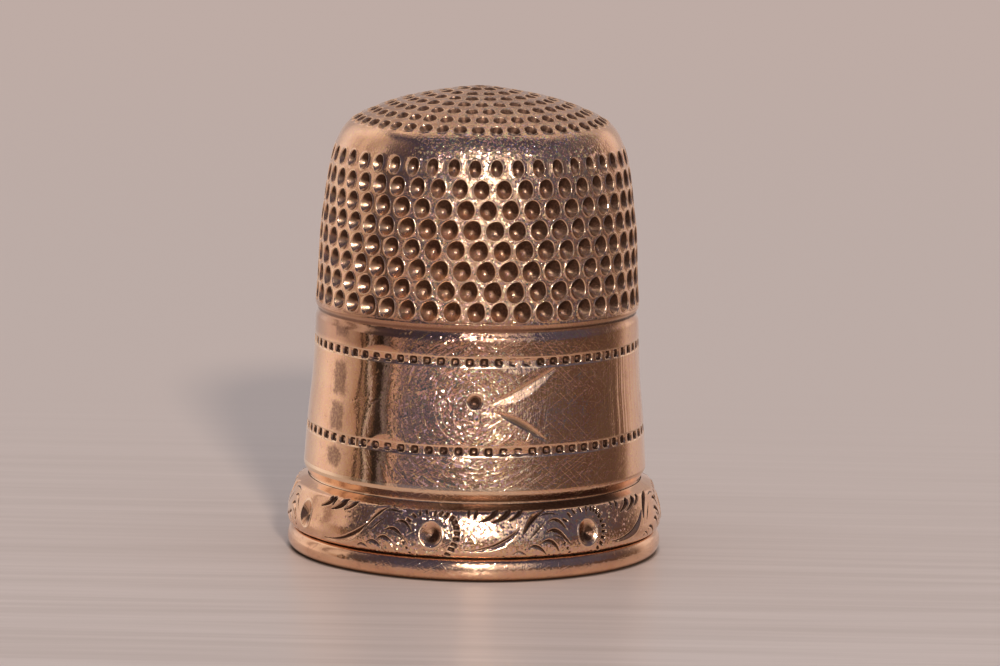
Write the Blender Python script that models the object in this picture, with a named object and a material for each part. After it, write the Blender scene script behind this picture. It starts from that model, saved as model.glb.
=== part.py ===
"""Sewing thimble: a gold cup with a dimpled cap and wall, a plain band, an applied rim and a foot ring.

The thimble stands mouth down on z = 0 with its axis on Z. Sizes are in millimetres until points are
placed. Angles are in radians, counter-clockwise from above, starting at -Y.
"""

import math
from collections import namedtuple

import bmesh
import bpy
import numpy as np

MM = 0.001
TURN = 2.0 * math.pi

# Heights below are measured from a level this far above the table.
DATUM = 0.13
HEIGHT = 21.98
MOUTH_HEIGHT = -0.09

# Facets round the thimble: two for every dimple of the wall.
WALL_COLUMNS = 44
SEGMENTS = 2 * WALL_COLUMNS
CAVITY_SEGMENTS = 44

# Outer profile of the cup from the apex down to the last row of dimples (radius, height).
CROWN = [
    (0.00, HEIGHT), (0.75, 21.92), (1.50, 21.80), (2.60, 21.60), (3.50, 21.395),
    (4.30, 21.17), (5.10, 20.85), (5.85, 20.50), (6.25, 20.22), (6.52, 19.90),
    (6.72, 19.52), (6.86, 19.15), (6.97, 18.80), (7.17, 17.85), (7.33, 16.60),
    (7.48, 15.40), (7.55, 14.20), (7.59, 13.20), (7.65, 12.20), (7.68, 11.80),
]
CURVE_SAMPLES = 12  # on each span of the smooth curve through CROWN
NORMAL_REACH = 0.05  # distance to each side over which the curve's normal is taken

# The rest of the outer profile, going down (radius, height).
LOWER = [
    # Cove under the dimples.
    (7.68, 11.72), (7.60, 11.52), (7.60, 11.12), (7.70, 10.90),
    # Flared band with its turned-in lower edge.
    (7.74, 9.90), (7.78, 9.00), (7.87, 7.70), (7.97, 6.80), (8.06, 5.75),
    (8.15, 4.35), (8.18, 3.92), (8.15, 3.74),
    # Neck above the rim, then the skirt inside the rim and the foot ring.
    (7.97, 3.50), (7.94, 3.28), (8.00, 3.06), (8.08, 0.95), (8.10, MOUTH_HEIGHT),
]

# Finger cavity from the mouth upward (radius, height), closed by a point on the axis.
CAVITY = [
    (7.62, MOUTH_HEIGHT), (7.66, 0.28), (7.52, 3.40), (7.46, 6.00), (7.36, 8.50),
    (7.22, 11.40), (7.12, 13.60), (7.02, 15.60), (6.80, 17.40), (6.48, 18.90),
    (6.10, 19.62), (5.40, 20.16), (4.30, 20.66), (2.60, 21.09), (1.20, 21.34),
]
CAVITY_TOP = 21.43

# Wall dimples: row heights from the top down. Each row is turned back on the one below by a
# fraction of the column pitch, so the columns climb as spirals.
WALL_ROWS = [18.84, 17.96, 16.99, 16.06, 15.10, 14.15, 13.21, 12.27]
WALL_ROW_TURN = 0.304
BOTTOM_ROW_ANGLE = -0.0035
WALL_HALF_WIDTH = 0.40
TOP_ROW_HALF_WIDTH = 0.29
WALL_HALF_HEIGHT = 0.425
WALL_DEPTH = 0.20

# Cap dimples: rings about a middle one, at an even step along the dome. The last ring has as many
# dimples as a wall row; the others are spaced by the pitch.
CAP_RINGS = 7
CAP_RING_STEP = 0.868
CAP_RING_TURN = 0.37
CAP_PITCH = 0.835
CAP_HALF_WIDTH = 0.33
CAP_HALF_HEIGHT = 0.33
CAP_DEPTH = 0.16

# Section of the applied rim (radius, height): half-round, its top sloping up to the neck.
RIM = [
    (8.14, 0.99), (8.72, 0.99), (8.86, 1.14), (8.92, 1.36), (8.93, 1.66), (8.90, 1.98),
    (8.82, 2.30), (8.70, 2.66), (8.58, 2.94), (8.44, 3.09), (8.02, 3.32),
]

# Section of the foot ring (radius, height): a bead round the mouth, flat underneath.
FOOT = [
    (8.16, -DATUM), (8.62, -DATUM), (8.79, -0.05), (8.885, 0.15), (8.92, 0.42),
    (8.89, 0.66), (8.80, 0.84), (8.64, 0.93), (8.16, 0.93),
]

# One row of dimples; distance is measured along the crown from the apex.
Row = namedtuple("Row", "distance count first_angle half_width half_height depth")


def clear_scene():
    for item in list(bpy.data.objects):
        bpy.data.objects.remove(item, do_unlink=True)


def metal(name, colour, roughness):
    material = bpy.data.materials.new(name)
    material.use_nodes = True
    inputs = material.node_tree.nodes["Principled BSDF"].inputs
    inputs["Base Color"].default_value = (*colour, 1.0)
    inputs["Metallic"].default_value = 1.0
    inputs["Roughness"].default_value = roughness
    return material


class Body:
    """Vertices and triangles of one closed body. A loop is a list of (vertex, angle)."""

    def __init__(self):
        self.vertices = []
        self.faces = []

    def point(self, radius, height, angle):
        x = radius * math.sin(angle)
        y = -radius * math.cos(angle)
        self.vertices.append((x * MM, y * MM, (height + DATUM) * MM))
        return len(self.vertices) - 1

    def ring(self, radius, height, count):
        """An evenly spaced loop round the axis."""
        step = TURN / count
        return [(self.point(radius, height, i * step), i * step) for i in range(count)]

    def quad(self, a, b, c, d):
        self.faces += [(a, b, c), (a, c, d)]

    def fan(self, centre, loop):
        for i in range(len(loop)):
            self.faces.append((centre, loop[i][0], loop[(i + 1) % len(loop)][0]))

    def zip_loops(self, upper, lower):
        """Join two loops of any counts with triangles, always advancing the loop that lags."""
        first = upper[0][1]

        def offset(angle):
            """Signed angle from the upper loop's first vertex, within half a turn."""
            return (angle - first + math.pi) % TURN - math.pi

        start = min(range(len(lower)), key=lambda i: abs(offset(lower[i][1])))
        lower = lower[start:] + lower[:start]
        base = offset(lower[0][1])
        upper_angles = [angle - first for _, angle in upper] + [TURN]
        lower_angles = [base]
        lower_angles += [base + (angle - lower[0][1]) % TURN for _, angle in lower[1:]]
        lower_angles.append(base + TURN)

        i = j = 0
        n, m = len(upper), len(lower)
        while i < n or j < m:
            advance_upper = j >= m or (
                i < n
                and upper_angles[i + 1] + upper_angles[i] <= lower_angles[j + 1] + lower_angles[j]
            )
            edge_start = (upper[i % n][0], lower[j % m][0])
            if advance_upper:
                self.faces.append((*edge_start, upper[(i + 1) % n][0]))
                i += 1
            else:
                self.faces.append((*edge_start, lower[(j + 1) % m][0]))
                j += 1

    def extend(self, loop, profile, segments):
        """Carry the surface on from a loop through a (radius, height) profile."""
        for radius, height in profile:
            following = self.ring(radius, height, segments)
            self.zip_loops(loop, following)
            loop = following
        return loop

    def make(self, name, material):
        mesh = bpy.data.meshes.new(name)
        mesh.from_pydata(self.vertices, [], self.faces)
        bm = bmesh.new()
        bm.from_mesh(mesh)
        bmesh.ops.recalc_face_normals(bm, faces=bm.faces)
        bm.to_mesh(mesh)
        bm.free()
        mesh.materials.append(material)
        bpy.context.scene.collection.objects.link(bpy.data.objects.new(name, mesh))


class CrownCurve:
    """Catmull-Rom curve through CROWN, looked up by distance from the apex."""

    def __init__(self):
        points = np.array(CROWN)
        # End points past the table: a mirror image at the apex, a straight run at the bottom.
        before_first = [[-points[1, 0], points[1, 1]]]
        after_last = 2 * points[-1] - points[-2]
        padded = np.vstack([before_first, points, after_last])
        samples = []
        for a, b, c, d in zip(padded, padded[1:], padded[2:], padded[3:]):
            for t in np.linspace(0.0, 1.0, CURVE_SAMPLES, endpoint=False):
                linear = (c - a) * t
                square = (2 * a - 5 * b + 4 * c - d) * t * t
                cubic = (3 * b - a - 3 * c + d) * t**3
                samples.append(0.5 * (2 * b + linear + square + cubic))
        samples.append(points[-1])
        samples = np.array(samples)
        lengths = np.hypot(*np.diff(samples, axis=0).T)
        self.distances = np.concatenate([[0.0], np.cumsum(lengths)])
        self.radii, self.heights = samples.T

    def at(self, distance):
        """Radius and height of the curve."""
        radius = np.interp(distance, self.distances, self.radii)
        height = np.interp(distance, self.distances, self.heights)
        return float(radius), float(height)

    def normal(self, distance):
        """Outward unit normal as (radial, vertical)."""
        r0, z0 = self.at(max(distance - NORMAL_REACH, 0.0))
        r1, z1 = self.at(distance + NORMAL_REACH)
        length = math.hypot(r1 - r0, z1 - z0)
        return (z0 - z1) / length, (r1 - r0) / length

    def distance_at(self, height):
        # np.interp needs rising values, and heights fall along the curve.
        return float(np.interp(-height, -self.heights, self.distances))


def cap_rows(crown):
    rows = []
    for k in range(1, CAP_RINGS + 1):
        distance = k * CAP_RING_STEP
        count = WALL_COLUMNS
        if k < CAP_RINGS:
            count = round(TURN * crown.at(distance)[0] / CAP_PITCH)
        rows.append(Row(
            distance, count, CAP_RING_TURN * k, CAP_HALF_WIDTH, CAP_HALF_HEIGHT, CAP_DEPTH
        ))
    return rows


def wall_rows(crown):
    pitch = TURN / WALL_COLUMNS
    rows = []
    for j, height in enumerate(WALL_ROWS):
        rows_below = len(WALL_ROWS) - 1 - j
        rows.append(Row(
            distance=crown.distance_at(height),
            count=WALL_COLUMNS,
            first_angle=BOTTOM_ROW_ANGLE - WALL_ROW_TURN * pitch * rows_below,
            half_width=TOP_ROW_HALF_WIDTH if j == 0 else WALL_HALF_WIDTH,
            half_height=WALL_HALF_HEIGHT,
            depth=WALL_DEPTH,
        ))
    return rows


def middle_dimple(body, crown):
    """Six-sided pit about the axis; returns its edge loop."""
    edge = body.ring(*crown.at(CAP_HALF_WIDTH), 6)
    body.fan(body.point(0.0, HEIGHT - CAP_DEPTH, 0.0), edge)
    return edge


def dimple(body, crown, row, centre_angle):
    """Six-sided pit; returns its corners, from the one at the greatest angle round by the top."""
    radius, height = crown.at(row.distance)
    corners = []
    for k in range(6):
        t = k * math.pi / 3.0
        rise = row.half_height * math.sin(t) / math.sin(math.pi / 3.0)
        angle = centre_angle + row.half_width * math.cos(t) / radius
        corners.append((body.point(*crown.at(row.distance - rise), angle), angle))
    normal_r, normal_z = crown.normal(row.distance)
    bottom = body.point(radius - row.depth * normal_r, height - row.depth * normal_z, centre_angle)
    body.fan(bottom, corners)
    return corners


def dimple_row(body, crown, row, above):
    """Join a row of dimples to the loop above it; returns the row's lower loop."""
    step = TURN / row.count
    pits = [dimple(body, crown, row, row.first_angle + i * step) for i in range(row.count)]
    # The metal between two pits is a waist of four triangles.
    for i in range(row.count):
        a = [vertex for vertex, _ in pits[i]]
        b = [vertex for vertex, _ in pits[(i + 1) % row.count]]
        body.quad(a[0], b[3], b[2], a[1])
        body.quad(a[5], b[4], b[3], a[0])
    body.zip_loops(above, [pit[k] for pit in pits for k in (2, 1)])
    return [pit[k] for pit in pits for k in (4, 5)]


def dimpled_cup(material):
    """One closed skin: down the outside from the apex, then up the cavity."""
    body = Body()
    crown = CrownCurve()
    loop = middle_dimple(body, crown)
    for row in cap_rows(crown) + wall_rows(crown):
        loop = dimple_row(body, crown, row, loop)
    loop = body.extend(loop, LOWER, SEGMENTS)
    loop = body.extend(loop, CAVITY, CAVITY_SEGMENTS)
    body.fan(body.point(0.0, CAVITY_TOP, 0.0), loop[::-1])
    body.make("dimpled_cup", material)


def moulding(name, section, material):
    """A closed ring with the given (radius, height) section."""
    body = Body()
    loops = [body.ring(radius, height, SEGMENTS) for radius, height in section]
    for k, a in enumerate(loops):
        b = loops[(k + 1) % len(loops)]
        for i in range(SEGMENTS):
            j = (i + 1) % SEGMENTS
            body.quad(a[i][0], a[j][0], b[j][0], b[i][0])
    body.make(name, material)


clear_scene()
dimpled_cup(metal("gold_cup", colour=(0.72, 0.46, 0.33), roughness=0.28))
moulding("applied_rim", RIM, metal("gold_rim", colour=(0.70, 0.44, 0.31), roughness=0.30))
moulding("foot_ring", FOOT, metal("gold_foot", colour=(0.74, 0.47, 0.34), roughness=0.25))
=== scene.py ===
"""A rose gold thimble on a pale floor: detailed cup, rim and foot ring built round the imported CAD.

The thimble's axis is +Z, with the foot ring on the table. The camera looks along +Y, so the front
is -Y and the right is +X. Sections are (radius, height) points in nominal millimetres; angles
round the axis start at the front and grow towards the right.
"""

from math import atan2, cos, exp, hypot, pi, radians, sin, sqrt
import bmesh
import bpy
import numpy as np
from mathutils import Matrix, Vector


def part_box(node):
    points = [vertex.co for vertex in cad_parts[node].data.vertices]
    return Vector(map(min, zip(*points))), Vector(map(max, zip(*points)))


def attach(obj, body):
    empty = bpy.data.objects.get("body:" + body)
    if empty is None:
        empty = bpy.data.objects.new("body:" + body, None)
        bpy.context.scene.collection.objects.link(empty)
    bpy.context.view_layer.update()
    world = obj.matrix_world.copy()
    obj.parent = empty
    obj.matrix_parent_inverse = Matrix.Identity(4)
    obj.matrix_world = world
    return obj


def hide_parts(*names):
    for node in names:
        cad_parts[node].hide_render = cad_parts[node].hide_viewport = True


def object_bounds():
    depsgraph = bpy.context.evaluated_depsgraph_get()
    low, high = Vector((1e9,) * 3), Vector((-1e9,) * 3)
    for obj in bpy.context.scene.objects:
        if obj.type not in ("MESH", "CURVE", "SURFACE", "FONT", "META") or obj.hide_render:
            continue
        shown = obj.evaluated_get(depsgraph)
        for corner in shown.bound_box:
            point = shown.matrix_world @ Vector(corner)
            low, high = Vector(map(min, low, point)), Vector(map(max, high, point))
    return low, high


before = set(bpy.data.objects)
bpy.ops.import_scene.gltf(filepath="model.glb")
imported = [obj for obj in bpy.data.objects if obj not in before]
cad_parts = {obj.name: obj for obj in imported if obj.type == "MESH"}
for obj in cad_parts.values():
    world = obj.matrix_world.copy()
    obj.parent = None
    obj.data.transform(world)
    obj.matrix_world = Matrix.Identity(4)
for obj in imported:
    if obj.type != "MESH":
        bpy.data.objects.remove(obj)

cad_lo, cad_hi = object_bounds()
cup_lo, cup_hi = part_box("dimpled_cup")
foot_lo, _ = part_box("foot_ring")

CUP_TOP = 21.965  # nominal height of the cup above the datum
DATUM = 0.13  # heights are measured from a level this far above the table
MM = (cup_hi.z - foot_lo.z) / (CUP_TOP + DATUM)  # metres in a nominal millimetre
AXIS_X = (cup_lo.x + cup_hi.x) / 2
AXIS_Y = (cup_lo.y + cup_hi.y) / 2
TABLE_Z = foot_lo.z
SIZE = (cad_hi - cad_lo).length
TAU = 2.0 * pi
DEG = pi / 180.0
rng = np.random.default_rng(1887)

# ---------------------------------------------------------------------------- mesh helpers


def fan_tris(cols):
    """Faces from point 0 to the closed ring of points after it."""
    k = np.arange(cols)
    return np.stack([0 * k, 1 + k, 1 + (k + 1) % cols], -1)


def ring_quads(rings, cols):
    """Faces between closed rings of points, one ring below another."""
    i, j = np.meshgrid(np.arange(rings - 1), np.arange(cols), indexing="ij")
    k = (j + 1) % cols
    here, below = i * cols, (i + 1) * cols
    return np.stack([here + j, below + j, below + k, here + k], -1).reshape(-1, 4)


class Body:
    """Sections of one piece in nominal millimetres, welded into one mesh.

    Each point has two shading values: cav, how much dirt and painted shade it holds, and edge, how
    rubbed it is, painted lighter as a highlight.
    """

    def __init__(self):
        self.verts, self.cav, self.edge, self.quads, self.tris = [], [], [], [], []
        self.count = 0

    def add(self, verts, quads=None, tris=None, cav=0.0, edge=0.0):
        verts = np.asarray(verts, float).reshape(-1, 3)
        self.verts.append(verts)
        for store, values in ((self.cav, cav), (self.edge, edge)):
            store.append(np.zeros(len(verts)) + np.ravel(values))
        for store, faces, sides in ((self.quads, quads, 4), (self.tris, tris, 3)):
            if faces is not None:
                store.append(np.asarray(faces).reshape(-1, sides) + self.count)
        self.count += len(verts)

    def zipper(self, upper, lower):
        """Join an upper loop to a lower one; each is (positions, angles) climbing in angle."""
        upper_pos, upper_ang = upper
        lower_pos, lower_ang = lower
        n_upper, n_lower = len(upper_ang), len(lower_ang)
        start = int(np.argmin(np.abs((lower_ang - upper_ang[0] + pi) % TAU - pi)))
        lower_ang = np.roll(lower_ang, -start)
        lower_pos = np.roll(lower_pos, -start, axis=0)
        base = (lower_ang[0] - upper_ang[0] + pi) % TAU - pi
        above = np.append((upper_ang - upper_ang[0]) % TAU, TAU)
        below = np.append(base + (lower_ang - lower_ang[0]) % TAU, base + TAU)
        tris, i, j = [], 0, 0
        while i < n_upper or j < n_lower:
            rung = (i % n_upper, n_upper + j % n_lower)
            if j >= n_lower or (i < n_upper and above[i] + above[i + 1] <= below[j] + below[j + 1]):
                i += 1
                tris.append((*rung, i % n_upper))
            else:
                j += 1
                tris.append((*rung, n_upper + j % n_lower))
        self.add(np.vstack([upper_pos, lower_pos]), tris=tris)

    def grid(self, pos, cav=0.0, edge=0.0):
        """Rows going along the profile, columns closing round the axis."""
        shape = pos.shape[:2]
        cav, edge = np.broadcast_to(cav, shape), np.broadcast_to(edge, shape)
        self.add(pos, quads=ring_quads(*shape), cav=cav, edge=edge)

    def build(self, name, material):
        verts = np.vstack(self.verts)
        key = np.round(verts * 2.0e4).astype(np.int64)
        _, first, back = np.unique(key, axis=0, return_index=True, return_inverse=True)
        back = back.reshape(-1)
        quads = back[np.vstack(self.quads)]
        tris = back[np.vstack(self.tris)] if self.tris else np.zeros((0, 3), int)
        tris = tris[np.all(tris != np.roll(tris, -1, axis=1), axis=1)]
        verts = verts[first] * MM + np.array([AXIS_X, AXIS_Y, TABLE_Z + DATUM * MM])

        mesh = bpy.data.meshes.new(name)
        mesh.vertices.add(len(verts))
        mesh.vertices.foreach_set("co", verts.astype(np.float32).ravel())
        loops = np.concatenate([quads.ravel(), tris.ravel()]).astype(np.int32)
        mesh.loops.add(len(loops))
        mesh.loops.foreach_set("vertex_index", loops)
        totals = np.repeat([4, 3], [len(quads), len(tris)]).astype(np.int32)
        starts = np.concatenate([[0], np.cumsum(totals)[:-1]]).astype(np.int32)
        mesh.polygons.add(len(totals))
        mesh.polygons.foreach_set("loop_start", starts)
        mesh.polygons.foreach_set("loop_total", totals)
        mesh.polygons.foreach_set("use_smooth", np.ones(len(totals), bool))
        mesh.update(calc_edges=True)
        mesh.validate()
        for label, values in (("cav", self.cav), ("edge", self.edge)):
            welded = np.zeros(len(first))
            np.maximum.at(welded, back, np.concatenate(values))
            attribute = mesh.attributes.new(label, "FLOAT", "POINT")
            attribute.data.foreach_set("value", welded.astype(np.float32))
        mesh.materials.append(material)
        sew_seams(mesh)
        return link_object(name, mesh)


def sew_seams(mesh):
    """Close the seams between sections, whose edges meet to within a few microns."""
    work = bmesh.new()
    work.from_mesh(mesh)
    border = [vert for vert in work.verts if vert.is_boundary]
    bmesh.ops.remove_doubles(work, verts=border, dist=0.012 * MM)
    open_edges = [edge for edge in work.edges if edge.is_boundary]
    if open_edges:
        for face in bmesh.ops.holes_fill(work, edges=open_edges, sides=12)["faces"]:
            face.smooth = True
    work.to_mesh(mesh)
    work.free()


def link_object(name, data):
    made = bpy.data.objects.new(name, data)
    bpy.context.scene.collection.objects.link(made)
    return made


def smooth_curve(points, per_span, before=None):
    """Catmull-Rom curve through the points; before is the point that leads into the first."""
    points = np.array(points, float)
    lead = 2 * points[0] - points[1] if before is None else np.array(before)
    knots = np.vstack([lead, points, 2 * points[-1] - points[-2]])
    out = []
    share = np.linspace(0.0, 1.0, per_span, endpoint=False)[:, None]
    for i in range(1, len(knots) - 2):
        last, here, then, after = knots[i - 1 : i + 3]
        out.append(
            0.5
            * (
                2 * here
                + (then - last) * share
                + (2 * last - 5 * here + 4 * then - after) * share**2
                + (3 * here - last - 3 * then + after) * share**3
            )
        )
    out.append(points[-1:])
    return np.vstack(out)


class Profile:
    """A section curve read by run, the length along it.

    Its normals point outwards where it goes down the outside of a piece.
    """

    def __init__(self, points, per_span, before=None):
        curve = smooth_curve(points, per_span, before)
        self.run = np.concatenate([[0.0], np.cumsum(np.hypot(*np.diff(curve, axis=0).T))])
        self.radius, self.z = curve[:, 0], curve[:, 1]
        slopes = []
        for values in (self.radius, self.z):
            slope = np.pad(np.gradient(values, self.run), 2, "edge")
            slopes.append(np.convolve(slope, np.ones(5) / 5, "valid"))
        size = np.hypot(*slopes)
        self.normal_r, self.normal_z = -slopes[1] / size, slopes[0] / size
        self.length = self.run[-1]

    def at(self, run):
        return np.interp(run, self.run, self.radius), np.interp(run, self.run, self.z)

    def run_at(self, z):
        return np.interp(-np.asarray(z, float), -self.z, self.run)

    def place(self, run, theta, depth=0.0):
        """Points at a run and an angle, sunk by depth along the normal."""
        radius, z = self.at(run)
        normal_r = np.interp(run, self.run, self.normal_r)
        normal_z = np.interp(run, self.run, self.normal_z)
        size = np.hypot(normal_r, normal_z)
        radius = radius - depth * (normal_r / size)
        z = z - depth * (normal_z / size)
        return np.stack([radius * np.sin(theta), -radius * np.cos(theta), z + 0.0 * theta], -1)


def smoothstep(start, end, x):
    share = np.clip((x - start) / (end - start), 0.0, 1.0)
    return share * share * (3.0 - 2.0 * share)


def wrap_deg(deg):
    return (deg + 180.0) % 360.0 - 180.0


# Slow unevenness of hand-finished, long-worn metal: long waves round the axis and up it, as
# (waves round the axis, rate up the axis, phase round, phase up).
WAVES = [
    (int(rng.integers(3, 34)), rng.uniform(0.15, 1.7), rng.uniform(0, TAU), rng.uniform(0, TAU))
    for _ in range(46)
]


def worn(theta, z):
    """Height of the unevenness, in millimetres."""
    height = 0.0
    for count, rate, phase_round, phase_up in WAVES:
        size = 0.0021 / (1.0 + 0.055 * count + 0.5 * rate)
        wave = size * np.sin(count * theta + phase_round)
        height = height + wave * np.sin(TAU * rate * z / 3.4 + phase_up)
    return height


def plain_rows(profile, rows, theta, wear=1.0):
    """Undecorated rows down a whole profile."""
    run = np.linspace(0.0, profile.length, rows)[:, None]
    return profile.place(run, theta, -(wear * worn(theta, profile.at(run)[1])))


def add_inside(body, profile, rows, theta, outside, cav):
    """The hidden inner face of a ring, closed onto both ends of its outside."""
    inner = plain_rows(profile, rows, theta, wear=0.0)
    inner[0], inner[-1] = outside[-1], outside[0]
    body.grid(inner, cav=cav)


# ---------------------------------------------------------------------------- dimpled crown

# (radius, height) from the top of the cap down to the cove under the dimpled wall
CROWN = [
    (0.00, 21.98), (0.75, 21.92), (1.50, 21.80), (2.60, 21.60), (3.50, 21.395),
    (4.30, 21.17), (5.10, 20.85), (5.85, 20.50), (6.25, 20.22), (6.52, 19.90),
    (6.72, 19.52), (6.86, 19.15), (6.97, 18.80), (7.17, 17.85), (7.33, 16.60),
    (7.48, 15.40), (7.55, 14.20), (7.59, 13.20), (7.65, 12.20), (7.685, 11.75),
]
crown = Profile(CROWN, per_span=16, before=(-0.75, 21.92))

COLUMNS = 44
PITCH = TAU / COLUMNS
ROW_STEP = 0.94
ROW_LOW = 12.26  # height of the lowest row
TURN = 0.304  # each row is turned back by this share of a column
THETA_0 = radians(-0.2)
WALL_RADIUS = 7.5  # mean, for the shape of the cells
BELOW = 0.53  # rows of wall below the lowest row's middle
ABOVE = 0.62  # and above the highest's

# Wall dimples from the lowest row up: half width, half height, depth, lean to the upper right
WALL_ROWS = [
    (0.430, 0.445, 0.34, 0.15), (0.430, 0.450, 0.34, 0.15), (0.430, 0.450, 0.34, 0.14),
    (0.430, 0.450, 0.335, 0.12), (0.425, 0.450, 0.33, 0.10), (0.405, 0.450, 0.31, 0.07),
    (0.370, 0.450, 0.28, 0.05), (0.290, 0.420, 0.225, 0.03),
]
ROWS = len(WALL_ROWS)
TOP_ROW = ROWS - 1

row_runs = crown.run_at(ROW_LOW + ROW_STEP * np.arange(ROWS))
wall_top_run = crown.run_at(ROW_LOW + ROW_STEP * (TOP_ROW + ABOVE))
WALL_ROW_STOPS = np.concatenate([[-BELOW], np.arange(ROWS), [TOP_ROW + ABOVE]])
WALL_RUN_STOPS = np.concatenate([[crown.length], row_runs, [wall_top_run]])

RING_STEP = 0.868  # between the cap's rings of dimples
RING_HALF = RING_STEP / 2 - 0.012  # half the height of a cell, short of the gap between rings
RINGS = 7
CAP_DEPTH = 0.25


def border_points(corners, counts):
    """Points along a closed border, with a count for the edge after each corner."""
    points = []
    for start, end, count in zip(corners, corners[1:] + corners[:1], counts):
        for k in range(count):
            points.append(np.array(start) + np.subtract(end, start) * (k / count))
    return np.array(points)


def hex_border():
    ratio = (WALL_RADIUS * PITCH / ROW_STEP) ** 2
    side = 0.5 - (1.0 - TURN) * TURN * ratio / 2.0
    peak = 1.0 - side
    tip = 0.5 - TURN
    corners = [(0.5, -side), (0.5, side), (tip, peak), (-0.5, side), (-0.5, -side), (-tip, -peak)]
    return border_points(corners, [4] * 6)


# Cell borders about a dimple's middle, in pitches across and up, counter-clockwise from the
# lower right corner
HEX = hex_border()
SQUARE = border_points([(0.5, -0.5), (0.5, 0.5), (-0.5, 0.5), (-0.5, -0.5)], [4, 8, 4, 8])


def pit_section():
    """A punched dimple from its middle to its lip: (share of the outline, share of the depth)."""
    blunt = 0.85
    whole = sqrt(1.0 + blunt**2) - blunt
    shares = (0.10, 0.20, 0.31, 0.43, 0.56, 0.69, 0.81, 0.90, 0.955)
    cone = [(share, 1.0 - (sqrt(share * share + blunt**2) - blunt) / whole) for share in shares]
    return cone + [(0.992, 0.006), (1.02, -0.045), (1.05, -0.062), (1.085, -0.040), (1.125, 0.0)]


PIT = pit_section()


def cap_groove(run):
    """Depth of the shallow grooves between the cap's rings; none beyond the cap."""
    inner, outer = smoothstep(0.3, 0.8, run), smoothstep(6.2, 6.5, run)
    return 0.022 * np.cos(TAU * run / RING_STEP) * inner * (1.0 - outer)


def crown_points(run, theta, depth=0.0):
    return crown.place(run, theta, depth + cap_groove(run) - worn(theta, 22.0 - run * 0.8))


def upright_sides(border):
    return np.abs(np.abs(border[:, 0]) - 0.5) < 1e-9


def add_cells(
    body, border, centre_th, centre_run, border_th, border_run,
    half_width, half_height, depth, lean, tip, mark=0.0, clean=False,
):
    """A row of dimples, each in a cell whose border is shared with its neighbours.

    tip moves the bottom of each pit; mark is the depth of nicks between neighbours.
    """
    count, points = border_th.shape

    def scatter(spread, columns=1):
        return spread * rng.standard_normal((count, columns))

    middle_th = centre_th[:, None]
    radius = crown.at(centre_run)[0]
    x = (border_th - middle_th) * radius
    y = -(border_run - centre_run)
    phi = np.arctan2(y, x)
    reach = np.hypot(x, y)
    width = half_width * (1.0 + scatter(0.025))
    height = half_height * (1.0 + scatter(0.02))
    outline = 1.0 / np.sqrt((np.cos(phi) / width) ** 2 + (np.sin(phi) / height) ** 2)
    peak = radians(68.0) + scatter(0.12)
    outline = outline * (
        1.0
        + lean * np.maximum(0.0, np.cos(phi - peak)) ** 7
        + 0.35 * lean * np.maximum(0.0, np.cos(phi - peak - pi)) ** 8
    )
    deep = depth * (1.0 + scatter(0.06))
    off = scatter(0.010, 2)
    off_x, off_y = off[:, :1], off[:, 1:]
    tip_x = tip[0] + scatter(0.022)
    tip_y = tip[1] + scatter(0.022)
    pos, cav, edge = [], [], []

    def push(theta, run, sunk, dirt, rubbed_and_highlight):
        pos.append(crown_points(run, theta, sunk))
        cav.append(np.broadcast_to(dirt, theta.shape))
        edge.append(np.broadcast_to(rubbed_and_highlight, theta.shape))

    tip_th = middle_th + (off_x + tip_x) / radius
    push(tip_th, centre_run - off_y - tip_y, deep, 0.0 if clean else 0.06, 0.0)
    shade = 0.62 + 0.38 * np.cos(phi - radians(60.0))  # painted shade: the upper right side of each pit is darker
    for share, sunk in PIT:
        if share > 0.9:
            room = (0.965 - 0.30 * (1.125 - share)) * reach
            span = np.minimum(share * outline, room)
        else:
            span = share * np.minimum(outline, 0.90 * reach)
        keep = max(0.0, 1.0 - share)
        run = centre_run - (off_y + tip_y * keep + span * np.sin(phi))
        theta = middle_th + (off_x + tip_x * keep + span * np.cos(phi)) / crown.at(run)[0]
        if clean:
            dirt = 0.95 * (min(1.0, share / 0.60) ** 1.6)
        else:
            dirt = 0.12 + 0.88 * min(1.0, share / 0.46)
        held_dirt_and_shade = 1.0 if share < 0.93 else 0.6 if share < 0.97 else 0.0
        rubbed_and_highlight = exp(-(((share - 1.045) / 0.045) ** 2))
        push(theta, run, deep * sunk, held_dirt_and_shade * dirt * shade, rubbed_and_highlight)
    notch = mark * np.exp(-((y / 0.19) ** 2)) * upright_sides(border)
    push(theta * 0.5 + border_th * 0.5, run * 0.5 + border_run * 0.5, 0.2 * notch, 0.0, 0.0)
    push(border_th, border_run, notch, 0.6 * np.clip(notch / 0.05, 0, 1), 0.0)

    rings = len(pos) - 1
    base = (np.arange(count) * (1 + rings * points))[:, None, None]
    body.add(
        np.concatenate(pos, axis=1),
        quads=base + 1 + ring_quads(rings, points),
        tris=base + fan_tris(points),
        cav=np.concatenate(cav, axis=1),
        edge=np.concatenate(edge, axis=1),
    )


def row_border(row):
    """The hexagon, ended on a straight line below the lowest row and above the highest."""
    if 0 < row < TOP_ROW:
        return HEX
    index = np.arange(len(HEX))
    bottom, top = HEX[0, 1], HEX[4, 1]
    if row == 0:
        flat, line = (index >= 16) | (index == 0), -BELOW
        low, high = line, top
    else:
        flat, line = (index >= 4) & (index <= 12), ABOVE
        low, high = bottom, line
    border = HEX.copy()
    border[flat, 1] = line
    side = upright_sides(HEX) & ~flat
    share = (HEX[side, 1] - bottom) / (top - bottom)
    border[side, 1] = low + (high - low) * share
    return border


def row_columns(row):
    """Where the row's dimples stand, in columns."""
    return THETA_0 / PITCH - TURN * row + np.arange(COLUMNS)


def wall_edge(row, first, last):
    """Angles of a run of border points on all the row's cells, climbing."""
    columns = row_columns(row)[:, None] + HEX[None, first:last, 0]
    return np.sort((columns * PITCH).ravel() % TAU)


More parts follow.
